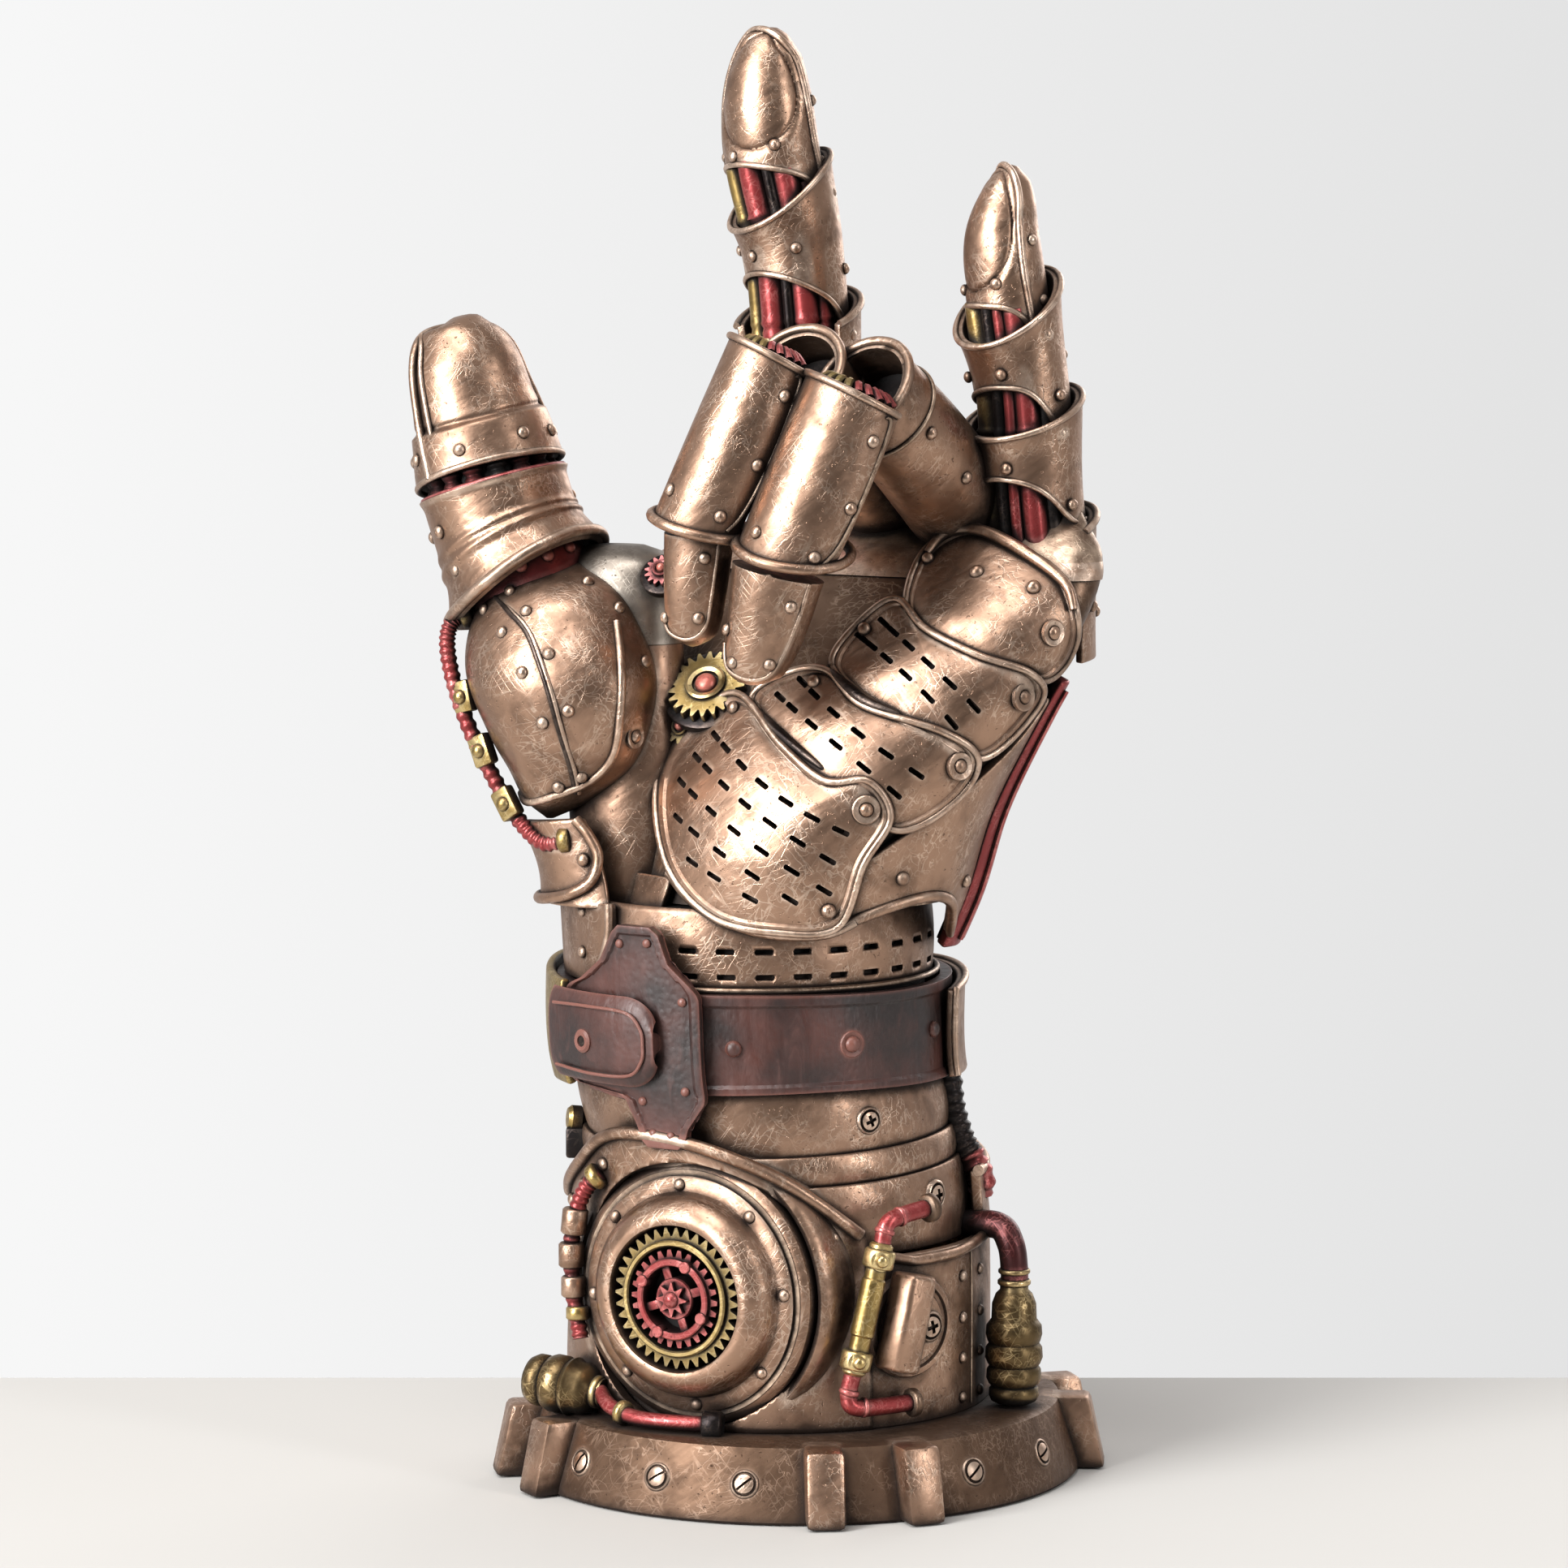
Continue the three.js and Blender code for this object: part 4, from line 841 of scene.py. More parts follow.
collars("canister_left_socket", [((-13.6, -35, 13.7), (1, -0.2, 0), 2.2, 3.2)], black)
CUFF_HOSE = [(-31.6, -20.6, 51.6), (-34.6, -19.2, 48), (-36.4, -18.2, 41), (-36.2, -18.6, 32), (-35, -20.4, 24.6)]
hose("cuff_hose", CUFF_HOSE, 1.2, red, ["cuff_hose"], ribs=0.25, spacing=1.3, steps=140)
collars("cuff_hose_blocks", [((-36, -18.5, 43.4), (0.1, 0, 1), 2.1, 4.2), ((-36.5, -18.3, 37.9), (0, 0, 1), 2.1, 4.0),
                             ((-36.2, -18.7, 32.8), (0, 0, 1), 2.0, 3.4)], bronze)
collars("cuff_hose_sockets", [((-32.4, -20.3, 51), (1, -0.3, 0.9), 2.2, 1.8), ((-35.5, -19.6, 28.6), (0, 0.1, 1), 1.9, 2.2)],
        gold)
CABLE = [(24.4, -4, 66), (25, -4.4, 60), (26.6, -5.4, 54.6), (28.2, -5.4, 51.6)]
hose("cuff_cable", CABLE, 2.0, black, ["cuff_cable"], ribs=0.35, spacing=1.5, steps=150)
hose("cuff_cable_bend", [(27.8, -5.4, 52.4), (28.8, -5.4, 50.2), (29.8, -5.1, 48), (29.4, -4.4, 45.8)], 2.1, red,
     [], ribs=0.4, spacing=1.5, steps=60)
knob = Vector((-36.4, 0, 57.1)) * MM
piece("cuff_knob", turned([(0, -3.4), (1.5, -3.4), (1.5, -1.2), (2.1, -0.8), (2.1, 0.8), (1.6, 1.4), (0, 1.6)], 28,
                                 outward(knob, Vector((-1, -0.2, 0.1)))), gold, crease=30)
piece("cuff_knob_foot", block(4, 4, 5, Matrix.Translation(Vector((-36, 0, 53.2)) * MM), 0.5), black)


# ------------------------------------------------------------------ the wrist strap
# A broad leather belt with rivets, a tongue through a loop at the left and a cross-shaped
# leather plate over it at the front. It is cast and painted to look like waxed leather.
def leather_material():
    material = bpy.data.materials.new("brown_leather")
    material.use_nodes = True
    tree = material.node_tree
    shader = tree.nodes["Principled BSDF"]
    place = add_node(tree, "TexCoord").outputs["Object"]
    stretched = add_node(tree, "Mapping", Vector=place)
    stretched.inputs["Scale"].default_value = (1, 1, 0.35)
    cells = add_node(tree, "TexVoronoi", {"feature": "SMOOTH_F1"}, Vector=place, Scale=1100).outputs["Distance"]
    wrinkles = add_node(tree, "TexNoise", Vector=stretched.outputs[0], Scale=330, Detail=5, Distortion=1.2).outputs["Fac"]
    clouds = add_node(tree, "TexNoise", Vector=place, Scale=95, Detail=4).outputs["Fac"]
    hollow = add_node(tree, "AmbientOcclusion", {"samples": 6}, Distance=0.0024).outputs["AO"]
    edge = add_node(tree, "AmbientOcclusion", {"samples": 6, "inside": True}, Distance=0.0009).outputs["AO"]

    def ranged(value, low, high, start=0.0, end=1.0):
        sizes = {"From_Min": low, "From_Max": high, "To_Min": start, "To_Max": end}
        return add_node(tree, "MapRange", Value=value, **sizes).outputs["Result"]

    def blended(share, first, second):
        node = add_node(tree, "Mix", {"data_type": "RGBA"})
        for slot_index, value in ((0, share), (6, first), (7, second)):
            if isinstance(value, bpy.types.NodeSocket):
                tree.links.new(value, node.inputs[slot_index])
            else:
                node.inputs[slot_index].default_value = value
        return node.outputs[2]

    colour = blended(ranged(clouds, 0.38, 0.66), (0.020, 0.011, 0.010, 1), (0.080, 0.027, 0.020, 1))
    colour = blended(ranged(wrinkles, 0.55, 0.75, 0, 0.5), colour, (0.11, 0.045, 0.036, 1))
    colour = blended(ranged(edge, 0.8, 0.45, 0, 0.9), colour, (0.20, 0.075, 0.055, 1))
    # Near black where ambient occlusion finds hollows within 2.4 mm. This is painted shade in the creases and where the
    # strap's parts meet.
    colour = blended(ranged(hollow, 0.75, 0.25), colour, (0.010, 0.006, 0.006, 1))
    tree.links.new(colour, shader.inputs["Base Color"])
    tree.links.new(ranged(wrinkles, 0.3, 0.7, 0.34, 0.55), shader.inputs["Roughness"])
    shader.inputs["Specular IOR Level"].default_value = 0.6
    height = add_node(tree, "Math", {"operation": "MULTIPLY_ADD"})
    tree.links.new(cells, height.inputs[0])
    height.inputs[1].default_value = 0.4
    tree.links.new(wrinkles, height.inputs[2])
    grain = add_node(tree, "Bump", Strength=0.55, Distance=0.0003, Height=height.outputs[0])
    tree.links.new(grain.outputs[0], shader.inputs["Normal"])
    return material


leather = leather_material()
STRAP_BOTTOM = 66
STRAP_TOP = 81.6


def strap_off(turn, v):
    """The belt's outside: padded between its two pressed edges, with a gentle wave."""
    pressed = 0.55 if min(v, 1 - v) < 0.1 else 0.25 * (1 - (2 * v - 1) ** 2)
    return 31.7 + pressed + 0.15 * sin(radians(5 * turn))


piece("strap", sleeve(arm, lambda turn: STRAP_BOTTOM + 0.25 * sine(4 * turn), lambda turn: STRAP_TOP + 0.25 * cosine(3 * turn),
                      strap_off, None, 180, 30), leather, ["strap"], wall=2, rounding=0.5)
arm_rivets("strap_rivets", [(-6, 73.4, 32), (29, 73.6, 32), (64, 73.9, 32), (100, 74, 32), (136, 74, 32), (172, 74, 32),
                            (208, 74, 32), (244, 74, 32)], 1.35, material=leather)
arm_rivets("strap_rivet_washer", [(29, 73.6, 31.9)], 1.2, washer=2.2, material=leather)


def tongue_corner(turn):
    """How far the tongue's rounded end draws in from its edges at a turn."""
    past = max(0, (turn + 35) / 9.4)
    return 4.6 * (1 - (1 - min(past, 1) ** 2) ** 0.5)


piece("strap_tongue", sleeve(arm, lambda turn: 66.9 + tongue_corner(turn), lambda turn: 81.4 - tongue_corner(turn),
                             lambda turn, v: 35.5 + 1.3 * (1 - (2 * v - 1) ** 4), (-64, -25.8), 60, 24), leather,
      ["strap_tongue"], wall=3.2, rounding=0.9)
tongue_seam = smooth_route([arm.at(height, turn, 37.1) for turn, height in
                            ((-60, 69), (-45, 68.6), (-33, 69), (-29, 71.5), (-28.4, 74), (-29, 76.6), (-33, 79),
                             (-45, 79.4), (-60, 79))], 60)
piece("tongue_seam", swept(tongue_seam, 0.28, 8), leather)
piece("tongue_eyelet", joined(turned([(0.8, -0.2), (0.9, 0.35), (1.5, 0.45), (1.9, 0.1), (1.9, -0.3)], 28,
                                     outward(arm.at(73.6, -48, 36.9), arm.out(73.6, -48)))), leather)
piece("tongue_eyelet_floor", turned([(0, 0.1), (0.85, 0.1), (0.85, -0.2), (0, -0.2)], 20,
                                    outward(arm.at(73.6, -48, 36.9), arm.out(73.6, -48))), black)
piece("strap_loop", sleeve(arm, lambda turn: 63.9 + 0.8 * sine(turn * 4), lambda turn: 82.8 - 0.8 * sine(turn * 4),
                           lambda turn, v: 33.8 + 0.4 * (1 - (2 * v - 1) ** 2), (-112, -66), 40, 12), gold,
      ["strap_loop"], wall=1.6, rounding=0.5)

CROSS = [(57.2, -33.5, -24.5), (58.2, -35.3, -22.4), (60.5, -36, -20.8), (64.6, -38, -14.8), (65.6, -41, -14.3),
         (66.3, -59, -14.2), (81.4, -59.5, -14.2), (82.2, -57.5, -14.8), (83.4, -52, -16.5), (86.8, -44, -22.4),
         (91.4, -39.6, -25), (92.6, -37.4, -27.6)]


def cross_place(u, v):
    height = mix(CROSS[0][0], CROSS[-1][0], v)
    i = 0
    while i < len(CROSS) - 2 and height > CROSS[i + 1][0]:
        i += 1
    share = (height - CROSS[i][0]) / (CROSS[i + 1][0] - CROSS[i][0])
    left, right = mix(CROSS[i][1], CROSS[i + 1][1], share), mix(CROSS[i][2], CROSS[i + 1][2], share)
    edge = min(u, 1 - u) * (right - left) / 1.7
    rim = 0.55 if edge < 1.3 or min(v, 1 - v) < 0.035 else 0
    return arm.at(height, mix(left, right, u), 34.2 + rim)


piece("cross_plate", sheet(44, 90, cross_place), leather, ["cross_plate"], wall=2, rounding=0.4)
arm_rivets("cross_rivets", [(-37.4, 89.6, 34.3), (-28.6, 90, 34.3), (-19, 80.9, 34.3), (-19.6, 66.6, 34.3), (-31.8, 59.4, 34.3),
                            (-26.4, 59.2, 34.3), (-33, 64.6, 34.3)], 0.75, material=leather)


# ------------------------------------------------------------------ the wrist plates
# A slotted bronze band between the strap and the hand, with a riveted plate at the left and a
# taller guard over the strap's right. The slots are pierced in two rows.
def slot_cutters(surface, rows, length=3.0, width=0.95, depth=3.0):
    """Boxes to pierce slots. Rows of points lie along each slot's own run; surface(x, z) gives its place."""
    boxes = []
    for row in rows:
        spots = [surface(*spot) for spot in row]
        for i, (point, out) in enumerate(spots):
            before, after = spots[max(i - 1, 0)][0], spots[min(i + 1, len(spots) - 1)][0]
            along = (after - before).normalized()
            across = out.cross(along).normalized()
            face = along.cross(across)
            placing = Matrix.Translation(point) @ Matrix((along, across, face)).transposed().to_4x4()
            boxes.append(block(length, width, depth, placing, 0.3))
    return joined(*boxes)


band = piece("wrist_band", sleeve(arm, 82.2, 95.2, lambda turn, v: 29.2 + 0.5 * (1 - (2 * v - 1) ** 2), (-60, 256), 200, 14),
             bronze, ["wrist_band"], wall=1.4)
band_rows = [[(turn, height) for turn in range(-20, 101, 12)] for height in (88.5, 84.4)]
cut(band, slot_cutters(lambda turn, height: (arm.at(height, turn, 29.6), arm.out(height, turn)), band_rows, 3.0, 0.9))
piece("forearm_core", swept([arm.centre(62 + 33.2 * k / 24) * MM for k in range(25)], 27.9, 96), black,
      ["forearm_core"])
piece("wrist_band_rail", swept([arm.at(82.3, turn, 30) for turn in range(-20, 254, 3)], 0.5, 10), dark_bronze)


def left_top(turn):
    return 95.6 - (turn + 75) / 40


piece("wrist_plate_left", sleeve(arm, 81.8, left_top, lambda turn, v: 30.9 + 0.3 * v, (-104, -46), 44, 12), bronze,
      ["wrist_plate_left"], wall=1.7, rounding=0.4)
left_edge = smooth_route([arm.at(height, turn, 31) for turn, height in
                          ((-58, 82), (-50.5, 86), (-47, 90.5), (-46.5, 95.2))], 30)
piece("wrist_plate_left_rail", swept(left_edge, 0.75, 10), bronze)
arm_rivets("wrist_plate_left_rivets", [(-60, 93.4, 31.1), (-61, 86.6, 31.1), (-78, 94, 31.1), (-94, 94.3, 31.1)], 1.0)


def right_top(turn):
    return 80 + 1.5 * sine(2.2 * (turn - 70))


piece("wrist_plate_right", sleeve(arm, 65.8, right_top, lambda turn, v: 34 + 0.6 * v * v, (70, 150), 50, 14), bronze,
      ["wrist_plate_right"], wall=1.5, rounding=0.35)
guard_edge = [arm.at(height, 70.5, 34.1 + 0.6 * ((height - 66) / 14) ** 2) for height in range(66, 81)]
guard_edge += [arm.at(right_top(turn), turn, 34.6) for turn in range(73, 150, 4)]
piece("wrist_plate_right_rail", swept(guard_edge, 0.6, 10), bronze)


# ------------------------------------------------------------------ the palm's plates
# Four overlapping bronze plates with raised rims on the palm, pierced with rows of slanting
# slots and riveted at their corners, over a core in darker bronze that is painted shade behind
# the curled fingers. A heel plate wraps round the right.
PALM_SPINE = [(-5.5, -1, 84, 28.5, 27), (-1.5, -4, 96, 30, 26), (2, -6, 110, 31.5, 24), (6.5, -5, 125, 36, 20.5),
              (9.5, 0, 140, 44, 17), (13, 3, 149, 44, 13.5), (20, 2, 158, 34, 9)]
palm = Limb(-36, PALM_SPINE, level=True)
LOW_OUTLINE = [(-22.8, 112), (-20, 121), (-10.3, 128.6), (-3, 121.6), (4, 116.2), (11, 116.2), (14.4, 110.5), (10.2, 103),
               (6.2, 92.9), (-3.5, 92), (-13.5, 94), (-20.6, 101)]
MIDDLE_OUTLINE = [(-7.5, 127.5), (-2, 132), (4.4, 132.8), (10, 127.8), (22.6, 123.9), (28.2, 119.4), (25, 113),
                  (15.9, 108.3), (6, 114), (-2, 119.5)]
HIGH_OUTLINE = [(5.3, 133.6), (9, 139.5), (15.3, 143.9), (20, 139.6), (28, 135.8), (36.6, 132.8), (38.2, 128),
                (29.4, 119.5), (20, 123.5), (11, 128.5)]
KNUCKLE_OUTLINE = [(17, 143), (20, 151), (27, 154.8), (35.6, 151.8), (42, 147), (44, 138), (39.5, 131.5), (30, 134),
                   (20, 138.5)]


def palm_out(x, z):
    turn = palm.turn_at(x, z)
    return palm.out(z, turn)


def palm_shield(name, outline, low, bulge, nodes, slots=(), wall=1.5, steps=132, rings=34, rim=0.45):
    """A domed plate laid on the palm inside an outline, with a rolled rim and pierced slots."""
    edge = smooth_route([(x, 0, z) for x, z in outline], steps, closed=True)
    middle = sum(edge, Vector()) / len(edge)

    def height_at(v):
        swell = bulge * (1 - (1 - v) ** 2)
        return low + swell + (rim if v < 0.07 else 0)

    def place(u, v):
        border = edge[round(u * steps) % steps]
        spot = border.lerp(middle, v)
        return palm.front(spot.x, spot.z, height_at(v))

    shape = sheet(steps, rings, place, True)
    bmesh.ops.remove_doubles(shape, verts=shape.verts, dist=1e-6)
    total = Vector()
    for face in shape.faces:
        total += face.normal * face.calc_area()
    if total.y > 0:
        bmesh.ops.reverse_faces(shape, faces=shape.faces)
    shield = piece(name, shape, bronze, nodes, wall=wall)
    if slots:
        def surface(x, z):
            return palm.front(x, z, low + bulge), palm_out(x, z)
        cut(shield, slot_cutters(surface, slots, 2.9, 0.85, 4.5))
    rail = [palm.front(point.x, point.z, low + 0.35) for point in edge]
    piece(name + "_rail", swept(rail, 0.62, 10, closed=True), bronze)
    return shield


def slot_row(start, end, count, bow):
    """Places along a slanting row of slots, closer together at the left, where the plate turns away."""
    spots = []
    for k in range(count):
        share = (k / (count - 1)) ** SLOT_CROWDING
        spots.append((mix(start[0], end[0], share), mix(start[1], end[1], share) + bow * sin(pi * share)))
    return spots


# Each row of slots runs from a start to an end in millimetres, with a count and a bow off the straight.
SLOT_CROWDING = 1.35
LOW_SLOTS = [slot_row((-14, 122), (6.5, 108.5), 7, -1.3), slot_row((-17, 118.5), (4.5, 104), 7, -0.6),
             slot_row((-19.5, 114.5), (4, 99), 7, -0.4), slot_row((-20, 109), (-1.5, 97.5), 5, 0),
             slot_row((-17.5, 102.5), (-8, 97.5), 3, 0)]
MIDDLE_SLOTS = [slot_row((0, 131), (18.5, 117.5), 6, -0.6), slot_row((-3.5, 128.5), (15, 114.5), 6, 0.3)]
HIGH_SLOTS = [slot_row((13, 140.5), (27.5, 128), 6, 0.3), slot_row((9.5, 138), (24, 125.5), 6, 0.9)]
palm_shield("palm_plate_low", LOW_OUTLINE, 1.5, 1.6, ["palm_plate_low"], LOW_SLOTS)
palm_shield("palm_plate_middle", MIDDLE_OUTLINE, 0.8, 1.2, ["palm_plate_middle"], MIDDLE_SLOTS)
palm_shield("palm_plate_high", HIGH_OUTLINE, 0.3, 1.2, ["palm_plate_high"], HIGH_SLOTS)
palm_shield("knuckle_plate", KNUCKLE_OUTLINE, -0.5, 2.4, ["knuckle_plate"])


def palm_rivets(name, rows):
    heads = []
    for x, z, off, radius, washer in rows:
        heads.append(rivet(palm.front(x, z, off), palm_out(x, z), radius, radius * 0.78, washer))
    piece(name, joined(*heads), bronze)


palm_rivets("palm_rivets", [(10.6, 111.8, 2.3, 1.15, 2.3), (25.4, 118.4, 1.5, 1.15, 2.3), (35.5, 129.1, 0.9, 1.15, 2.3),
                            (4.7, 95.6, 2.2, 1.2, 0), (-10.4, 126.4, 2.0, 1.1, 0), (2.4, 131.0, 1.3, 1.1, 0),
                            (10.4, 139.2, 0.9, 1.1, 0), (28.2, 148.3, 1.5, 1.2, 0), (37, 146.2, 1.3, 1.2, 0),
                            (40.1, 139.2, 0.9, 1.15, 2.1), (20.6, 150.1, 0.4, 1.0, 0)])
slits = []
for points in ([(-8.6, 0, 127.9), (-5.4, 0, 124.9), (-1.6, 0, 121.9), (3.9, 0, 117.9)],
               [(4.9, 0, 133.0), (7.6, 0, 130.6), (10.6, 0, 128.4), (15.8, 0, 126.6)]):
    route = [palm.front(point.x, point.z, 1.35) for point in smooth_route(points, 40)]
    slits.append(swept(route, lambda v: 0.15 + 0.75 * sin(pi * v) ** 0.6, 10))
piece("palm_slits", joined(*slits), black)
knuckle_rim = smooth_route([palm.front(x, z, 0.9) for x, z in ((20.5, 151), (23.6, 154.2), (29, 154.6), (35.6, 151.6),
                                                              (41.9, 146.9), (43.3, 142.8))], 60)
piece("knuckle_fold", swept(knuckle_rim, lambda v: 0.65 + 0.35 * sin(pi * v), 12), bronze)


def heel_low(turn):
    return through([(50, 93), (68, 96.2), (82, 97), (95, 95), (105, 90), (114, 88)], turn, 0)[1]


def heel_high(turn):
    return through([(50, 103), (80, 115), (100, 124), (114, 131)], turn, 0)[1]


piece("heel_plate", sleeve(palm, heel_low, heel_high, lambda turn, v: 0.6 + 0.5 * (1 - v) ** 3, (50, 108), 64, 20), bronze,
      ["heel_plate"], wall=1.5, rounding=0.3)
heel_rail = [palm.at(heel_low(turn), turn, 1.0) for turn in range(50, 109, 2)]
piece("heel_rail", swept(heel_rail, lambda v: 0.95 if v < 0.9 else 0.95 - (v - 0.9) * 3, 12), bronze)
piece("heel_rivets", joined(rivet(palm.at(100.4, 66, 0.8), palm.out(100.4, 66), 1.15, 0.9),
                            rivet(palm.at(98.6, 100, 0.8), palm.out(98.6, 100), 1.15, 0.9)), bronze)
palm_heel_rail = [palm.front(x, z, 1.3) for x, z in ((-20.6, 100.4), (-17, 96.4), (-12, 93.6), (-4, 91.6), (4, 91.6), (9, 93.6))]
piece("palm_heel_lip", swept(smooth_route(palm_heel_rail, 60), 0.85, 12), bronze)


def spine_place(u, v):
    turn = mix(108.5, 136, u)
    return palm.at(mix(86.6, 130.5, v), turn, 2.7 - 1.9 * abs(2 * u - 1) ** 3)


piece("red_spine", sheet(16, 60, spine_place), red, ["red_spine"], wall=2, rounding=0.4)
spine_grooves = [swept([palm.at(88 + 41 * k / 30, turn, 2.55) for k in range(31)], 0.5, 8) for turn in (114, 119, 124, 129)]
piece("red_spine_ridges", joined(*spine_grooves), red)
piece("hand_back", sleeve(palm, lambda turn: 97.5 - 1.2 * cosine(3 * turn), lambda turn: 146 + 0.6 * cosine(4 * turn),
                          lambda turn, v: 0.7 + 0.5 * sin(pi * v), (136.6, 262), 110, 40), bronze,
      ["hand_back"], wall=1.6, rounding=0.35)
for number, (base, lift) in enumerate(((106, 2), (118, 3), (131, 4)), 1):
    ridge = [palm.at(base + lift * sin(radians((turn - 137) / 125 * 180)), turn, 1.3) for turn in range(139, 261, 3)]
    piece(f"hand_back_rail_{number}", swept(ridge, 0.75, 10), bronze)
    spots = [(turn, base + 3.4 + lift * sin(radians((turn - 137) / 125 * 180))) for turn in range(148, 260, 20)]
    piece(f"hand_back_rivets_{number}", joined(*[rivet(palm.at(height, turn, 1.2), palm.out(height, turn), 1.0, 0.8)
                                                for turn, height in spots]), bronze)


# ------------------------------------------------------------------ the core of the hand
# The solid resin inside the hand shows as a smooth greyish web between the thumb and the
# curled fingers, and as a plain panel left of the palm's plates.
web = rubbed_finish("web_metal", (0.03, 0.024, 0.02), (0.25, 0.215, 0.18), (0.58, 0.52, 0.45),
                    Wash=1.2, Rub=0.6, Blotch=0.7, Polish=0.33, Relief=0.5)


def stub(limb, bottom, top, off=0.0, columns=64, rows=24):
    """A closed solid round a limb between two heights, capped at both ends."""
    shape = sleeve(limb, bottom, top, off, None, columns, rows)
    bmesh.ops.holes_fill(shape, edges=[e for e in shape.edges if e.is_boundary])
    bmesh.ops.recalc_face_normals(shape, faces=shape.faces)
    return shape


# The core takes the darker bronze as painted shade, where it lies behind the curled fingers.
piece("palm_core", stub(palm, 95.2, lambda turn: 153 + 5 * sine(turn), lambda turn, v: -1.3 - 2.2 * max(0, v - 0.9) / 0.1,
                        120, 44), dark_bronze, ["palm_core"], crease=50)
piece("hand_crown", stub(palm, 147, lambda turn: 157 + 3.5 * sine(turn), lambda turn, v: -1.0 - 10 * v ** 2.2, 120, 24),
      bronze, crease=60)
bridge = Limb(-30, [(-27, -7, 92.4, 8.5, 8.5), (-27.5, -7, 104, 9.5, 8.5), (-27.5, -6.5, 116, 10.5, 8.5), (-28.5, -6, 128, 11, 8),
                    (-29, -4.5, 140, 11, 8), (-29, -3.5, 147, 10.5, 7.5), (-29, -3, 150, 8.5, 6), (-29, -3, 151.4, 4.5, 3)],
              level=True)
piece("palm_panel", stub(bridge, 92.4, 136.4, 0, 72, 40), bronze, crease=60)
piece("thumb_web", stub(bridge, 136, 151.4, 0.15, 72, 30), web, crease=60)
piece("palm_panel_step", sleeve(palm, 92.2, 99.6, 1.0, (-74, -10), 40, 10), bronze, wall=1.2, rounding=0.3)


def small_gear(name, place, facing, tilt, teeth, root, tip, thick, material, nodes=()):
    """A gold or red wheel in a black hollow, with a raised hub ring and a round red boss."""
    placing = looking(place, facing, tilt)
    piece(name + "_hollow", turned([(0, -1.6), (tip + 0.9, -1.6), (tip + 1.0, -0.25), (tip + 0.7, -0.05), (0, -0.05)], 40,
                                   placing), black)
    body = joined(wheel(teeth, root, tip, 0, thick, placing, 0.22, 0.1),
                  turned([(tip * 0.3, thick * 0.8), (tip * 0.5, thick * 0.8), (tip * 0.5, thick + 0.5),
                          (tip * 0.44, thick + 0.7), (tip * 0.34, thick + 0.5), (tip * 0.3, thick * 0.8)], 32, placing))
    piece(name, body, material, nodes, crease=30)
    piece(name + "_boss", turned([(0, thick + 1.3), (tip * 0.12, thick + 1.2), (tip * 0.22, thick + 0.9),
                                  (tip * 0.27, thick + 0.3), (tip * 0.27, thick - 0.2), (0, thick - 0.2)], 24, placing),
          salmon)


salmon = rubbed_finish("salmon_rivet", (0.05, 0.015, 0.012), (0.60, 0.17, 0.13), (0.85, 0.40, 0.33),
                       metallic=0.45, Wash=0.8, Rub=0.6, Blotch=0.3, Polish=0.26, Relief=0.3)
gear_spot = palm.front(-14.4, 128.8, 1.6) / MM
small_gear("palm_gear_big", gear_spot, -20, 42, 22, 5.3, 6.6, 1.5, gold, ["palm_gear_big"])
small_gear("palm_gear_small", palm.front(-18.4, 122.6, 1.6) / MM, -30, 18, 12, 2.1, 2.9, 1.0, gold)
small_gear("web_gear", (-21.6, -14.6, 147.6), -18, 40, 14, 2.2, 2.9, 0.9, blackened_red)


# ------------------------------------------------------------------ the ball of the thumb
# A domed plate over the ball of the thumb, with a seam down its middle between two rows of
# rivets. A red hose runs down its outer side under gold clamps to the guard of the thumb.
THENAR_SPINE = [(-40, -9, 107.6, 0.6, 0.6), (-38.4, -9.6, 110.6, 5.4, 6), (-36.6, -10.2, 115.6, 10.4, 9),
                (-36.8, -10.6, 121, 13.4, 11.4), (-38.1, -10.2, 131, 16.2, 13), (-39, -8, 140, 14.2, 11),
                (-38.8, -5.6, 145.6, 10.4, 8.4), (-37, -4, 150, 0.6, 0.6)]
thenar = Limb(-30, THENAR_SPINE, level=True)
piece("thenar_dome", stub(thenar, 107.6, 150, 0, 112, 72), bronze, ["thenar_dome"], crease=60)


def on_thenar(x, z, off=0.0):
    return thenar.front(x, z, off)


def thenar_rivets(name, rows, radius=1.05, washer=0.0):
    heads = [rivet(on_thenar(x, z), thenar.out(z, thenar.turn_at(x, z)), radius, radius * 0.75, washer) for x, z in rows]
    piece(name, joined(*heads), bronze)


GROOVE = [(-49.4, 144.1), (-46.4, 141.6), (-43.4, 138.6), (-41.2, 133.8), (-39.4, 128.4), (-37.9, 122.6), (-36.2, 116.5),
          (-35.6, 112.5)]
groove = smooth_route([on_thenar(x, z) for x, z in GROOVE], 70)
piece("thenar_seam", swept(groove, 0.42, 10), black)
piece("thenar_seam_lip", swept([point + Vector((0.55, -0.1, 0)) * MM for point in groove], 0.42, 10), bronze)
thenar_rivets("thenar_rivets", [(-50.4, 141.4), (-47.3, 138.2), (-43.9, 132.2), (-40.6, 124.3), (-38.3, 113.6),
                                (-46.2, 144.4), (-43.4, 141.6), (-39.6, 135.2), (-36.5, 126.3), (-34.6, 115.4),
                                (-33.6, 146), (-28.6, 142), (-24.4, 133.6)])
thenar_rivets("thenar_rivet_ringed", [(-26, 121.8)], 1.15, 2.0)
lip = smooth_route([thenar.at(height, turn, 0.1) for height, turn in
                    ((140, 72), (133, 66), (126, 64), (119, 62), (114.6, 50), (112, 20), (110.6, -30), (111.6, -70))], 60)
piece("thenar_lip", swept(lip, 0.7, 12), bronze)

GUARD_SPINE = [(-28, -6, 92, 12, 13), (-29.5, -6, 100, 12.3, 13), (-33, -6, 108, 12.4, 12), (-36.5, -6, 116, 11.5, 11)]
guard = Limb(-30, GUARD_SPINE, level=True)


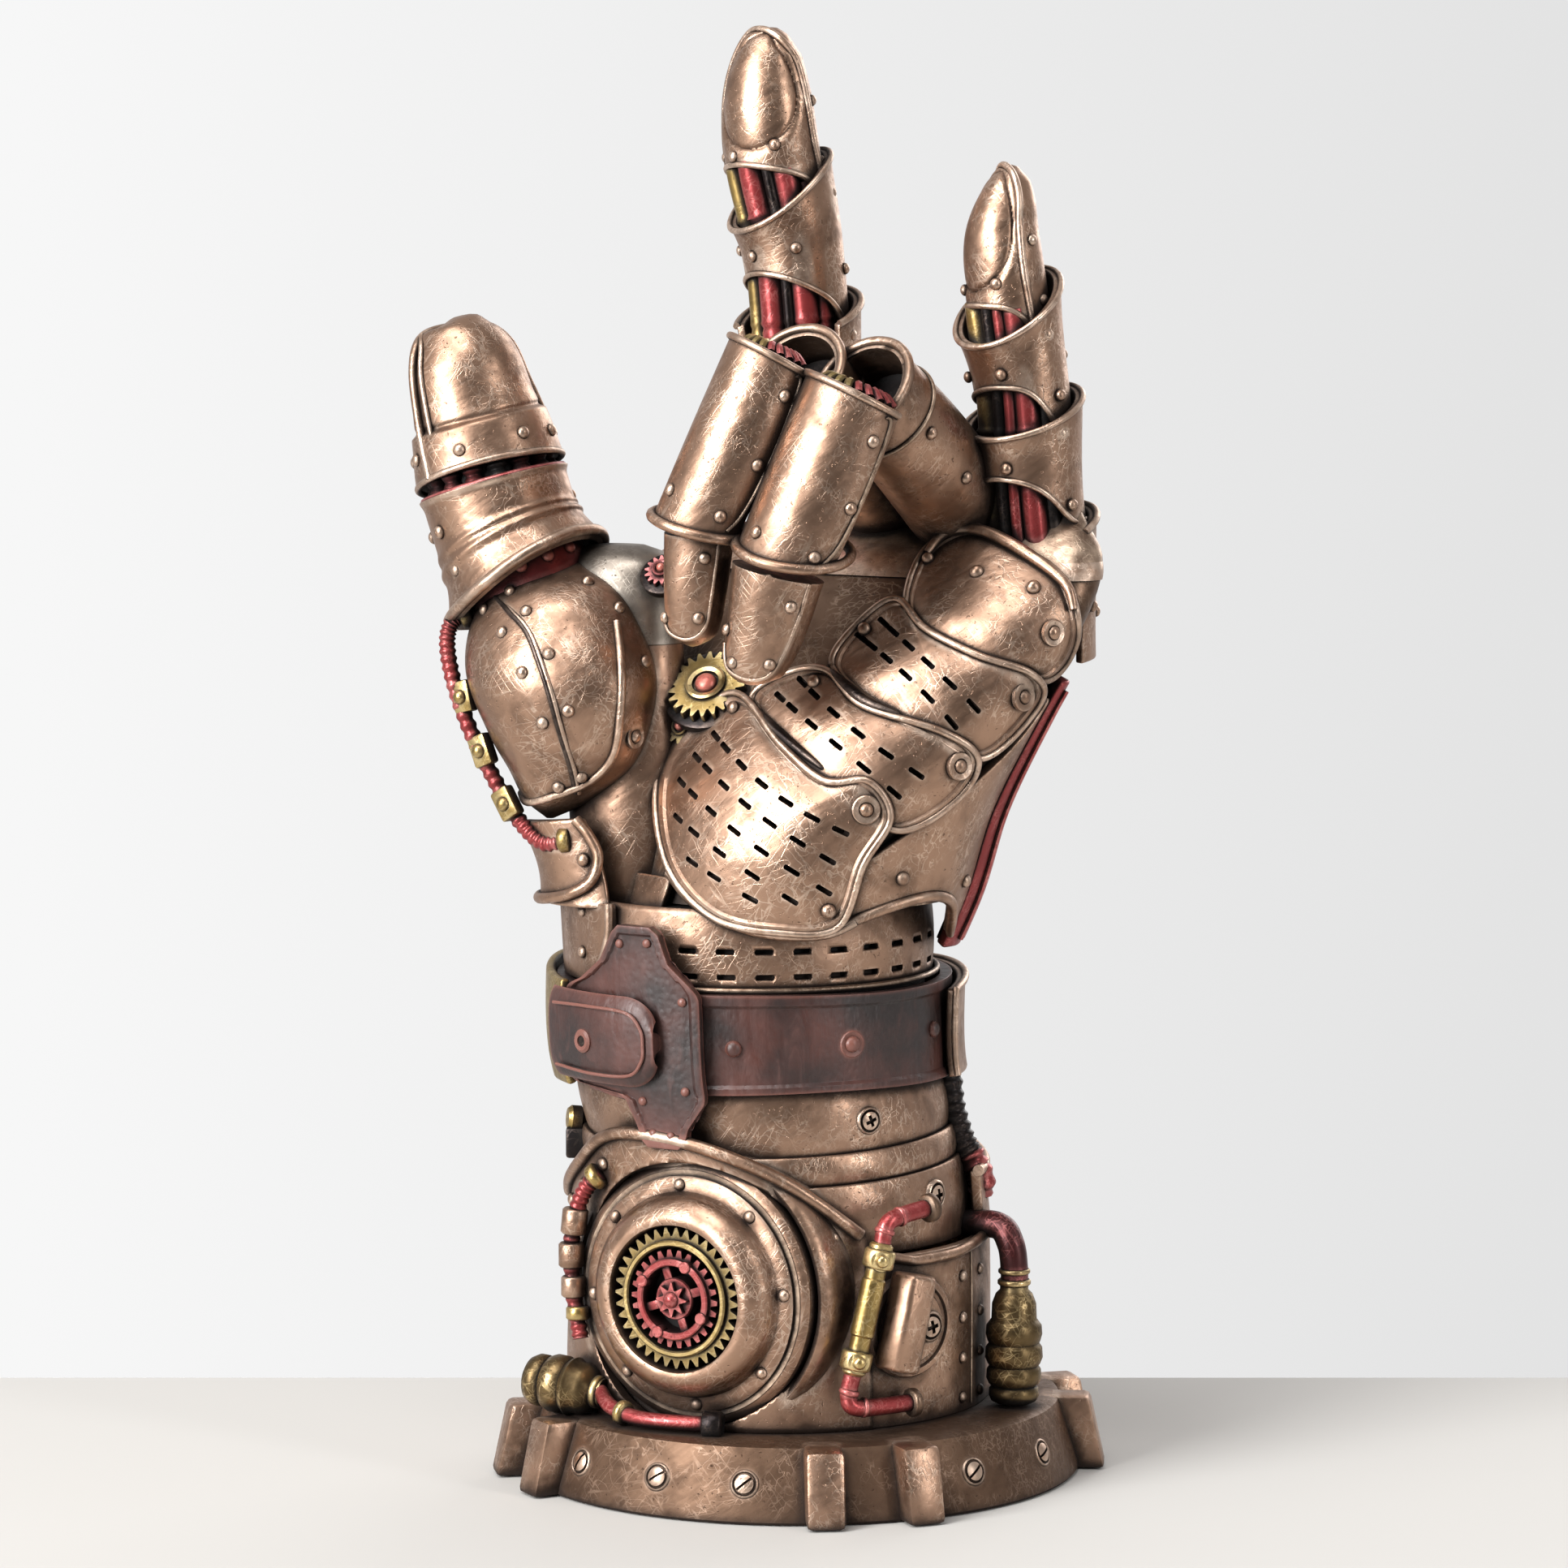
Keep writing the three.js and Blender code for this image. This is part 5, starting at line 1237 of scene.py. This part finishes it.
def guard_top(turn):
    return 108 + turn / 40


piece("thumb_guard", sleeve(guard, 94.2, guard_top, lambda turn, v: 0.2 + 0.9 * (1 - v) ** 4, (-150, 24), 72, 22), bronze,
      ["thumb_guard"], wall=1.7, rounding=0.35)
guard_rail = smooth_route([guard.at(108.4, 18, 0.3), guard.at(106, 23, 0.6), guard.at(102.5, 24, 0.8), guard.at(98.6, 14, 1.2),
                           guard.at(96.2, -6, 1.3), guard.at(94.8, -40, 1.4), guard.at(94.4, -80, 1.4),
                           guard.at(94.4, -120, 1.4), guard.at(94.4, -148, 1.4)], 90)
piece("thumb_guard_rail", swept(guard_rail, 0.9, 12), bronze)
piece("thumb_guard_rivets", joined(*[rivet(guard.at(height, turn, 0.5), guard.out(height, turn), 1.1, 0.85)
                                     for height, turn in ((101.9, 12), (104, -90), (104, -130))]), bronze)

THENAR_HOSE = [(-52, -6, 140.5), (-55.4, -6.2, 139.4), (-56.6, -6.6, 136), (-55.6, -7.2, 129.6), (-52.8, -8.4, 121.6),
               (-49, -9.6, 114), (-45.2, -11.2, 107.8), (-41, -14, 104.2), (-36.4, -16.6, 105)]
hose("thenar_hose", THENAR_HOSE, 1.15, red, ["thenar_hose"], steps=200, ribs=0.28, spacing=1.25)
clamp_parts = []
bolt_parts = []
for x, y, z, lean in ((-53.8, -8.2, 127.2, 14), (-50.8, -9.6, 118.6, 22), (-46.8, -11.2, 110.2, 32)):
    plate = looking((x, y, z), -34) @ Matrix.Rotation(radians(lean), 4, "Z")
    clamp_parts.append(block(3.6, 5.2, 2.4, plate, 0.5))
    bolt_parts.append(turned([(0, 2.2), (0.7, 2.05), (1.1, 1.6), (1.2, 1.0), (0, 1.0)], 20, plate))
piece("thenar_hose_clamps", joined(*clamp_parts), gold, crease=30)
piece("thenar_hose_bolts", joined(*bolt_parts), gold)
collars("thenar_hose_ends", [((-53.6, -6.1, 140.1), (1, 0, 0.4), 2.0, 2.0), ((-37.2, -16.4, 104.9), (1, -0.4, 0.1), 2.1, 2.0)],
        gold)


# ------------------------------------------------------------------ the fingers' common parts
# Each finger is a bundle of red, gold and black rods in bronze hoods. The rods have paired
# collars where they end in a hood. Hood edges are rolled, and small rivets follow them.
def edge_rail(limb, height, off, radius, turns=(0, 360), step=5):
    """A rolled edge along a limb at a height that may depend on the turn."""
    start, end = turns
    whole = end - start >= 360
    route = [limb.at(value_at(height, turn), turn, value_at(off, turn)) for turn in range(start, end + (0 if whole else 1), step)]
    return swept(route, radius, 10, closed=whole)


def limb_rivets(limb, rows, radius=1.0, off=0.3):
    return joined(*[rivet(limb.at(height, turn, off), limb.out(height, turn), radius, radius * 0.78)
                    for height, turn in rows])


def rod_bundle(name, limb, low, high, rods, collar_heights, node):
    """Rods round a black core. Rods are rows of turn, radius, how deep they lie and their finish."""
    piece(name + "_core", stub(limb, low, value_at(high, 0) + 1.5, -2.9, 40, 30), black, [node])
    finishes = {"red": (red, "red_metal"), "gold": (gold, "aged_gold"), "black": (black, "black_metal")}
    for key, (material, slot) in finishes.items():
        bars = []
        for turn, radius, depth, finish_key in rods:
            if finish_key != key:
                continue
            end = value_at(high, turn)
            route = [limb.at(mix(low, end, k / 90), turn, -depth) for k in range(91)]

            def size(v):
                height = mix(low, end, v)
                swell = max(exp(-((height - ring) / 0.28) ** 2) for ring in collar_heights)
                dip = max(exp(-((height - ring + 0.75) / 0.28) ** 2) for ring in collar_heights)
                return radius * (1 + 0.16 * swell - 0.14 * dip)

            bars.append(swept(route, size, 14))
        if bars:
            piece(f"{name}_{key}", joined(*bars), material, crease=70)


def capped_finger(limb, bottom, top, pad_middle, pad_height, pad_turns, bulge=0.5):
    """A finger's end: a smooth pad in front, a groove round it and a raised hood behind."""
    def off(turn, v):
        height = mix(value_at(bottom, turn), top, v)
        away = hypot((turn - pad_middle[0] + 180) % 360 - 180, 0) / pad_turns
        up = (height - pad_middle[1]) / pad_height
        reach = hypot(away, up)
        if reach < 1:
            return bulge * (1 - reach ** 3) - 0.28 * exp(-((reach - 0.985) / 0.045) ** 2)
        return 0.35 * min((reach - 1) / 0.12, 1) * (1 - max(0, v - 0.93) / 0.07)
    return stub(limb, bottom, top, off, 144, 90)


# ------------------------------------------------------------------ the thumb
# A broad smooth cap with a hood edge round its outer side, a riveted band below it, and a
# flared cuff that sits over the ball of the thumb, with a red riveted ring inside the flare.
THUMB_SPINE = [(-40, -3, 128, 13, 12.5), (-42.6, -2, 142, 12.4, 12.2), (-47, -1, 153.5, 11.8, 11.2), (-49.6, 0, 162, 11.7, 11),
               (-51, 0.6, 168, 11, 10.2), (-52.6, 1.4, 174, 10, 9.2), (-54, 2, 180.5, 8.9, 8.4), (-55.2, 2.4, 185, 6.6, 6.2),
               (-55.6, 2.6, 186.8, 4.2, 4.0), (-56, 2.7, 187.6, 0.6, 0.6)]
thumb = Limb(12, THUMB_SPINE)


def thumb_cap_edge(turn):
    return 163 + 1.4 * cosine(turn)


def thumb_flare_edge(turn):
    return 144.8 + 1.75 * sine(turn) + 3.7 * cosine(turn)


def thumb_band(turn, v):
    height = mix(thumb_cap_edge(turn), 187.6, v)
    line = 170.6 - 0.8 * cosine(turn)
    if height < line:
        return 0.65
    return 0.65 * exp(-((height - line) / 0.5) ** 2) - 0.3 * exp(-((height - line - 0.9) / 0.45) ** 2)


piece("thumb_cap", stub(thumb, thumb_cap_edge, 187.6, thumb_band, 128, 100), bronze, ["thumb_cap"], crease=60)
hood = smooth_route([thumb.at(height, turn, 0.35) for height, turn in
                     ((163.6, -62), (168, -66), (174, -70), (180, -74), (184.4, -80), (186.6, -110), (186.9, 180),
                      (186, 120), (182, 106), (176, 102), (170, 100), (164, 98))], 110)
piece("thumb_hood_edge", swept(hood, 0.75, 12), bronze)
inner_hood = smooth_route([thumb.at(height, turn, 0.15) for height, turn in
                           ((170, -54), (175, -57), (180, -60), (184, -64), (186, -84))], 50)
piece("thumb_hood_edge_inner", swept(inner_hood, 0.45, 10), bronze)
piece("thumb_cap_rim", edge_rail(thumb, thumb_cap_edge, 0.45, 0.55), bronze)
piece("thumb_cap_rivets", limb_rivets(thumb, [(166.7, -28), (167.2, 26), (167, 62), (167, -78), (167, 100), (167, 140),
                                              (167, 180), (167, -140), (167, -110)], 1.05, 0.65), bronze)


def flare(turn, v):
    fold = 0.55 * exp(-((v - 0.42) / 0.05) ** 2) + 0.35 * exp(-((v - 0.53) / 0.04) ** 2)
    return 0.2 + 2.2 * (1 - min(1, v / 0.5)) ** 1.6 + fold + 0.5 * exp(-((v - 1) / 0.05) ** 2)


piece("thumb_cuff", sleeve(thumb, thumb_flare_edge, 161, flare, None, 128, 60), bronze, ["thumb_cuff"],
      wall=1.8, rounding=0.3)
piece("thumb_flare_rim", edge_rail(thumb, lambda turn: thumb_flare_edge(turn) + 0.4, 1.9, 0.95), bronze)
piece("thumb_cuff_rim", edge_rail(thumb, 161, -0.1, 0.6), red)
piece("thumb_cuff_rivets", limb_rivets(thumb, [(156, -68), (150.6, -62), (156, -110), (156, 150), (156, 100)], 1.1, 0.3), bronze)
piece("thumb_ring", stub(thumb, 143.4, 153, -1.6, 72, 6), red)
piece("thumb_ring_rivets", limb_rivets(thumb, [(147.5, turn) for turn in (-58, -34, -8, 18, 44)], 1.0, -1.5), salmon)
rod_bundle("thumb_rods", thumb, 155, 168, [(turn, 1.5, 2.4, "red" if turn % 60 else "black") for turn in range(-75, 285, 25)],
           (161.6, 163.2), "thumb_rods")


# ------------------------------------------------------------------ the index finger
# Straight and pointing up: a capped end, one hooded ring, and a hooded base, with the rods
# showing in the two gaps between them.
INDEX_SPINE = [(4.7, 14, 147, 7.6, 7.6), (3.5, 14, 158, 7.6, 7.6), (0.9, 14, 180, 7.6, 7.6), (-1.2, 14.2, 200, 7.4, 7.2), (-4.2, 14.2, 214, 7.6, 6.8),
               (-5, 14, 224, 6.9, 6.2), (-4.6, 13.6, 231, 4.8, 4.4), (-4.1, 13.3, 233.6, 2.6, 2.4), (-4, 13.2, 234.6, 0.6, 0.6)]
index = Limb(-22, INDEX_SPINE)


def lappet(turn, middle, width):
    """One where a hood reaches down beside its window, falling to nought to both sides."""
    return exp(-(((turn - middle + 180) % 360 - 180) / width) ** 2)


def index_cap_edge(turn):
    return 210 + 3.5 * cosine(turn + 40) - 5.5 * lappet(turn, 98, 26)


piece("index_cap", capped_finger(index, index_cap_edge, 234.6, (-4, 224.6), 9.4, 70, 0.35), bronze,
      ["index_cap"], crease=60)
index_hood = smooth_route([index.at(height, turn, 0.45) for height, turn in
                           ((203.6, 88), (210, 84), (216, 82), (222, 80), (227, 78), (230.6, 70), (233.4, 40), (234.2, -40),
                            (232.6, -90), (229, -92), (224, -92), (218, -92), (213, -90))], 110)
piece("index_hood_edge", swept(index_hood, 0.62, 12), bronze)
piece("index_cap_rim", edge_rail(index, index_cap_edge, 0.3, 0.5), bronze)
piece("index_cap_rivets", limb_rivets(index, [(214.6, -34), (215.6, 24), (214.6, -86), (222.6, 98), (211.4, 98), (212, 160),
                                              (212, -140)], 0.95, 0.35), bronze)


def index_ring_low(turn):
    return 190.4 + 5 * cosine(turn + 30) - 5 * lappet(turn, 104, 24)


def index_ring_high(turn):
    return 208.4 - 5.2 * cosine(turn + 30)


piece("index_ring", sleeve(index, index_ring_low, index_ring_high, lambda turn, v: 0.7 + 1.2 * v * v, None, 96, 28), bronze,
      ["index_ring"], wall=1.3, rounding=0.3)
piece("index_ring_rims", joined(edge_rail(index, index_ring_low, 0.75, 0.45), edge_rail(index, index_ring_high, 1.9, 0.5)), bronze)
piece("index_ring_rivets", limb_rivets(index, [(198.4, -30), (198.8, 26), (199.6, -74), (206, 96), (194.6, 100), (200, 160),
                                               (200, -140)], 0.95, 1.0), bronze)


def index_base_high(turn):
    return 188 - 4 * cosine(turn)


piece("index_base", sleeve(index, 151, index_base_high, lambda turn, v: 0.8 + 2.1 * v * v, (60, 285), 72, 36), bronze,
      ["index_base"], wall=1.4, rounding=0.3)
piece("index_base_rim", edge_rail(index, index_base_high, 2.9, 0.6, (60, 285)), bronze)
piece("index_base_rivets", limb_rivets(index, [(184, 80), (172, 100), (180, 160), (180, 220), (168, 190)], 1.0, 2.2), bronze)
rod_bundle("index_rods", index, 152, lambda turn: index_cap_edge(turn) + 0.4, [(-62, 1.6, 1.1, "gold"), (-21, 2.2, 1.7, "red"), (8, 0.9, 0.9, "black"),
                                           (33, 2.2, 1.7, "red"), (63, 1.6, 1.6, "red"), (92, 1.7, 1.8, "black"),
                                           (-100, 1.8, 2.2, "black"), (140, 2.2, 2.4, "red"), (185, 2.2, 2.4, "red"),
                                           (230, 2.2, 2.4, "gold")], (187.2, 204.8), "index_rods")


# ------------------------------------------------------------------ the little finger
# Also straight and pointing up: a capped end, two hooded rings and a hooded base, with three
# gaps that show its rods. The lowest gap stands open above the knuckle plate.
PINKY_SPINE = [(39.6, -11, 131, 6, 8), (38.4, -12, 146, 7, 7.4), (36.8, -13, 160, 7, 7), (35.6, -13.5, 176, 6.6, 6.6),
               (33.4, -13.8, 190, 6.4, 6), (32.3, -14, 200, 6, 5.4), (33.2, -13.8, 207.4, 4.2, 4), (34, -13.6, 211, 2.4, 2.2),
               (34.4, -13.6, 212.2, 0.6, 0.6)]
pinky = Limb(-38, PINKY_SPINE)


def pinky_cap_edge(turn):
    return 189.4 + 1.6 * cosine(turn + 30) - 4.5 * lappet(turn, 84, 30)


piece("pinky_cap", capped_finger(pinky, pinky_cap_edge, 212.2, (-22, 202), 9, 74, 0.3), bronze,
      ["pinky_cap"], crease=60)
pinky_hood = smooth_route([pinky.at(height, turn, 0.45) for height, turn in
                           ((185.4, 66), (191, 64), (197, 62), (203, 60), (208, 56), (211, 30), (211.6, -60), (209, -110),
                            (204, -112), (198, -112))], 100)
piece("pinky_hood_edge", swept(pinky_hood, 0.6, 12), bronze)
piece("pinky_cap_rim", edge_rail(pinky, pinky_cap_edge, 0.3, 0.5), bronze)
piece("pinky_cap_rivets", limb_rivets(pinky, [(194, 20), (193.4, -60), (200.6, 84), (190.4, 92), (194, 150), (194, -140)],
                                      0.95, 0.35), bronze)
HOODS = (("upper", lambda turn: 174.4 + 3.6 * cosine(turn) - 4.5 * lappet(turn, 86, 26),
          lambda turn: 190 - 5.2 * cosine(turn), lambda turn, v: 1 + 1.6 * v * v, 180, 175.6),
         ("lower", lambda turn: 158.4 + 5 * cosine(turn) - 3 * lappet(turn, 88, 26),
          lambda turn: 173 - 3.4 * cosine(turn), lambda turn, v: 1.6 + 1.4 * v * v, 165, 158.4))
for key, low_edge, high_edge, off, middle, low_rivet in HOODS:
    piece(f"pinky_ring_{key}", sleeve(pinky, low_edge, high_edge, off, None, 96, 28), bronze,
          [f"pinky_ring_{key}"], wall=1.3, rounding=0.3)
    low_off, high_off = off(0, 0), off(0, 1)
    piece(f"pinky_ring_{key}_rims", joined(edge_rail(pinky, low_edge, low_off, 0.45),
                                           edge_rail(pinky, high_edge, high_off, 0.5)), bronze)
    piece(f"pinky_ring_{key}_rivets", limb_rivets(pinky, [(middle, -52), (middle, 14), (middle + 5, 78), (low_rivet, 84),
                                                          (middle + 1, 150), (middle + 1, -130)], 0.95, (low_off + high_off) / 2 - 0.2),
          bronze)


def pinky_base_high(turn):
    return 154 - 3 * cosine(turn)


piece("pinky_base", sleeve(pinky, 133, pinky_base_high, lambda turn, v: 1.6 + 1.8 * v * v, (88, 236), 60, 24), bronze,
      ["pinky_base"], wall=1.4, rounding=0.3)
piece("pinky_base_rim", edge_rail(pinky, pinky_base_high, 3.4, 0.6, (88, 236)), bronze)
piece("pinky_base_rivets", limb_rivets(pinky, [(142, 100), (150, 110), (140, 150), (148, 190)], 1.0, 2.4), bronze)
rod_bundle("pinky_rods", pinky, 147, lambda turn: pinky_cap_edge(turn) + 0.4, [(-42, 2.0, 1.2, "gold"), (-6, 1.0, 0.9, "black"), (15, 1.0, 0.8, "red"),
                                           (42, 2.0, 1.4, "red"), (72, 1.4, 1.4, "black"), (-78, 1.5, 1.6, "black"),
                                           (130, 2.0, 2.4, "red"), (175, 2.0, 2.4, "gold"), (220, 2.0, 2.4, "red"),
                                           (258, 1.6, 2.4, "black")], (170.6, 184.6), "pinky_rods")


# ------------------------------------------------------------------ the curled fingers
# The middle and ring fingers fold over the palm: a root from the knuckle, a long plate with a
# rolled lower edge, and a short tip under it. Springs and red bits show in the joints above.
CURLED = {
    "middle_root": (-30, [(17, 6, 156, 8.3, 8.3), (8, -10, 169, 8.2, 8.2), (-0.5, -24, 180, 8, 8)]),
    "middle": (-20, [(-16.2, -30, 154.5, 7, 6.3), (-9.8, -31, 168.5, 7.4, 7), (-3.4, -29.5, 183.5, 7.2, 6.8)]),
    "middle_tip": (-20, [(-16.8, -27.5, 137.2, 0.6, 0.6), (-16.7, -27.8, 138.2, 2.6, 2.4), (-16.6, -28, 139.5, 4, 3.8),
                         (-16.2, -29, 146, 5, 4.6), (-15.6, -29.5, 154.6, 5.6, 5)]),
    "ring_root": (-30, [(29, -4, 154, 8.6, 8.6), (19.5, -17.5, 167, 8.5, 8.5), (10, -30, 178, 8.3, 8.3)]),
    "ring": (-12, [(-2.4, -36, 149.5, 7.8, 6.5), (3.4, -36.5, 163, 8.3, 7), (9.6, -35, 178, 8.2, 7)]),
    "ring_tip": (-12, [(-7.6, -33, 131.5, 0.6, 0.6), (-7.5, -33.2, 132.4, 3, 2.6), (-7.2, -33.5, 134, 4.8, 4),
                       (-5.2, -34.5, 140, 6.2, 5), (-3.2, -35.5, 149.2, 7.4, 5.8)]),
}
limbs = {key: Limb(facing, spine) for key, (facing, spine) in CURLED.items()}


def middle_low(turn):
    return 156 - 1.2 * cosine(turn) + 1.3 * sine(turn)


def middle_high(turn):
    return 182.2 - 0.7 * sine(turn)


def ring_low(turn):
    return 152.6 - 2.6 * cosine(turn) + 1.9 * sine(turn)


def ring_high(turn):
    return 176.4 - 0.6 * sine(turn)


for key, low_edge, high_edge, off, seam_turn, rows in (
        ("middle", middle_low, middle_high, 0.4, 64, [(177.4, 48), (167.6, 50), (159.4, 34), (159.4, -44)]),
        ("ring", ring_low, ring_high, 0.4, 60, [(171, 44), (161.6, 50), (153.6, 34), (153.4, -40)])):
    limb = limbs[key]
    piece(key + "_plate", sleeve(limb, low_edge, high_edge, off, (-150, seam_turn + 8), 84, 44), bronze,
          [key + "_plate"], wall=1.2, rounding=0.3)
    piece(key + "_knuckle_core", stub(limb, lambda turn: low_edge(turn) + 0.6, lambda turn: high_edge(turn) - 1.2,
                                      lambda turn, v: -1.5 + 0.5 * sin(v * 64), 48, 110), black)
    piece(key + "_lower_roll", edge_rail(limb, lambda turn: low_edge(turn) + 0.3, off + 0.35, 0.85), bronze)
    piece(key + "_upper_roll", edge_rail(limb, high_edge, off + 0.1, 0.6, (-150, seam_turn + 8)), bronze)
    seam = smooth_route([limb.at(low_edge(0) + 3, seam_turn - 14, off + 0.1), limb.at(low_edge(0) + 6, seam_turn - 4, off + 0.1),
                         limb.at(low_edge(0) + 12, seam_turn, off + 0.1), limb.at(high_edge(0) - 3, seam_turn - 2, off + 0.1),
                         limb.at(high_edge(0) - 1.4, seam_turn - 12, off + 0.1)], 50)
    piece(key + "_seam", swept(seam, 0.3, 8), dark_bronze)
    piece(key + "_rivets", limb_rivets(limb, rows, 1.05, off), bronze)
    coils = []
    top = limb.at(high_edge(0) + 0.6, 0, -limb.spine[-1][4])
    for step in range(9):
        turn = -60 + step * 17
        a, b = limb.at(high_edge(0) + 0.4, turn, -1.8), limb.at(high_edge(0) + 0.4, turn, -5.2)
        coils.append(swept([a.lerp(b, k / 6) + Vector((0, 0, 1.3 * sin(pi * k / 6))) * MM for k in range(7)], 0.75, 8))
    piece(key + "_spring", joined(*coils[:4]), gold)
    piece(key + "_wires", joined(*coils[4:]), red)
    piece(key + "_joint_floor", stub(limb, lambda turn: high_edge(turn) - 3, lambda turn: high_edge(turn) - 0.2, -1.2, 40, 4),
          black)

for key, low, high, node in (("middle_tip", 137.2, 154.8, "middle_tip"), ("ring_tip", 131.5, 150.4, "ring_tip")):
    limb = limbs[key]
    piece(key, stub(limb, low, high, lambda turn, v: 0.35 * (1 - min(1, abs((turn + 180) % 360 - 180) / 62) ** 8), 96, 50),
          bronze, [node], crease=60)
    tip_seam = smooth_route([limb.at(high - 1, 52, 0.15), limb.at(high - 8, 50, 0.15), limb.at(low + 4, 44, 0.2),
                             limb.at(low + 1.6, 10, 0.3), limb.at(low + 2.2, -40, 0.3), limb.at(low + 5, -60, 0.2)], 60)
    piece(key + "_edge", swept(tip_seam, 0.4, 10), bronze)
piece("tip_rivets", joined(limb_rivets(limbs["middle_tip"], [(151.6, 30), (142.6, 28), (141.6, -50)], 1.0, 0.3),
                           limb_rivets(limbs["ring_tip"], [(145.2, 34), (136.4, 32), (134.6, -30), (138.6, -60)], 1.0, 0.3)),
      bronze)

for key, low, high in (("middle_root", 157, 180.4), ("ring_root", 152, 178.2)):
    limb = limbs[key]
    piece(key, sleeve(limb, low, high, lambda turn, v: 0.3 * sin(pi * v), None, 80, 50), bronze, [key],
          wall=1.2, rounding=0.3)
    piece(key + "_inside", stub(limb, low, high - 4.5, -1.3, 48, 6), black)
    piece(key + "_arch", edge_rail(limb, high, 0.1, 0.75), bronze)
    piece(key + "_arch_inner", edge_rail(limb, high - 4.4, 0.25, 0.4), dark_bronze)
piece("root_rivets", joined(limb_rivets(limbs["ring_root"], [(172.4, 62), (165.4, 62), (159.5, 40)], 1.05, 0.3),
                            limb_rivets(limbs["middle_root"], [(172, 62)], 1.05, 0.3)), bronze)
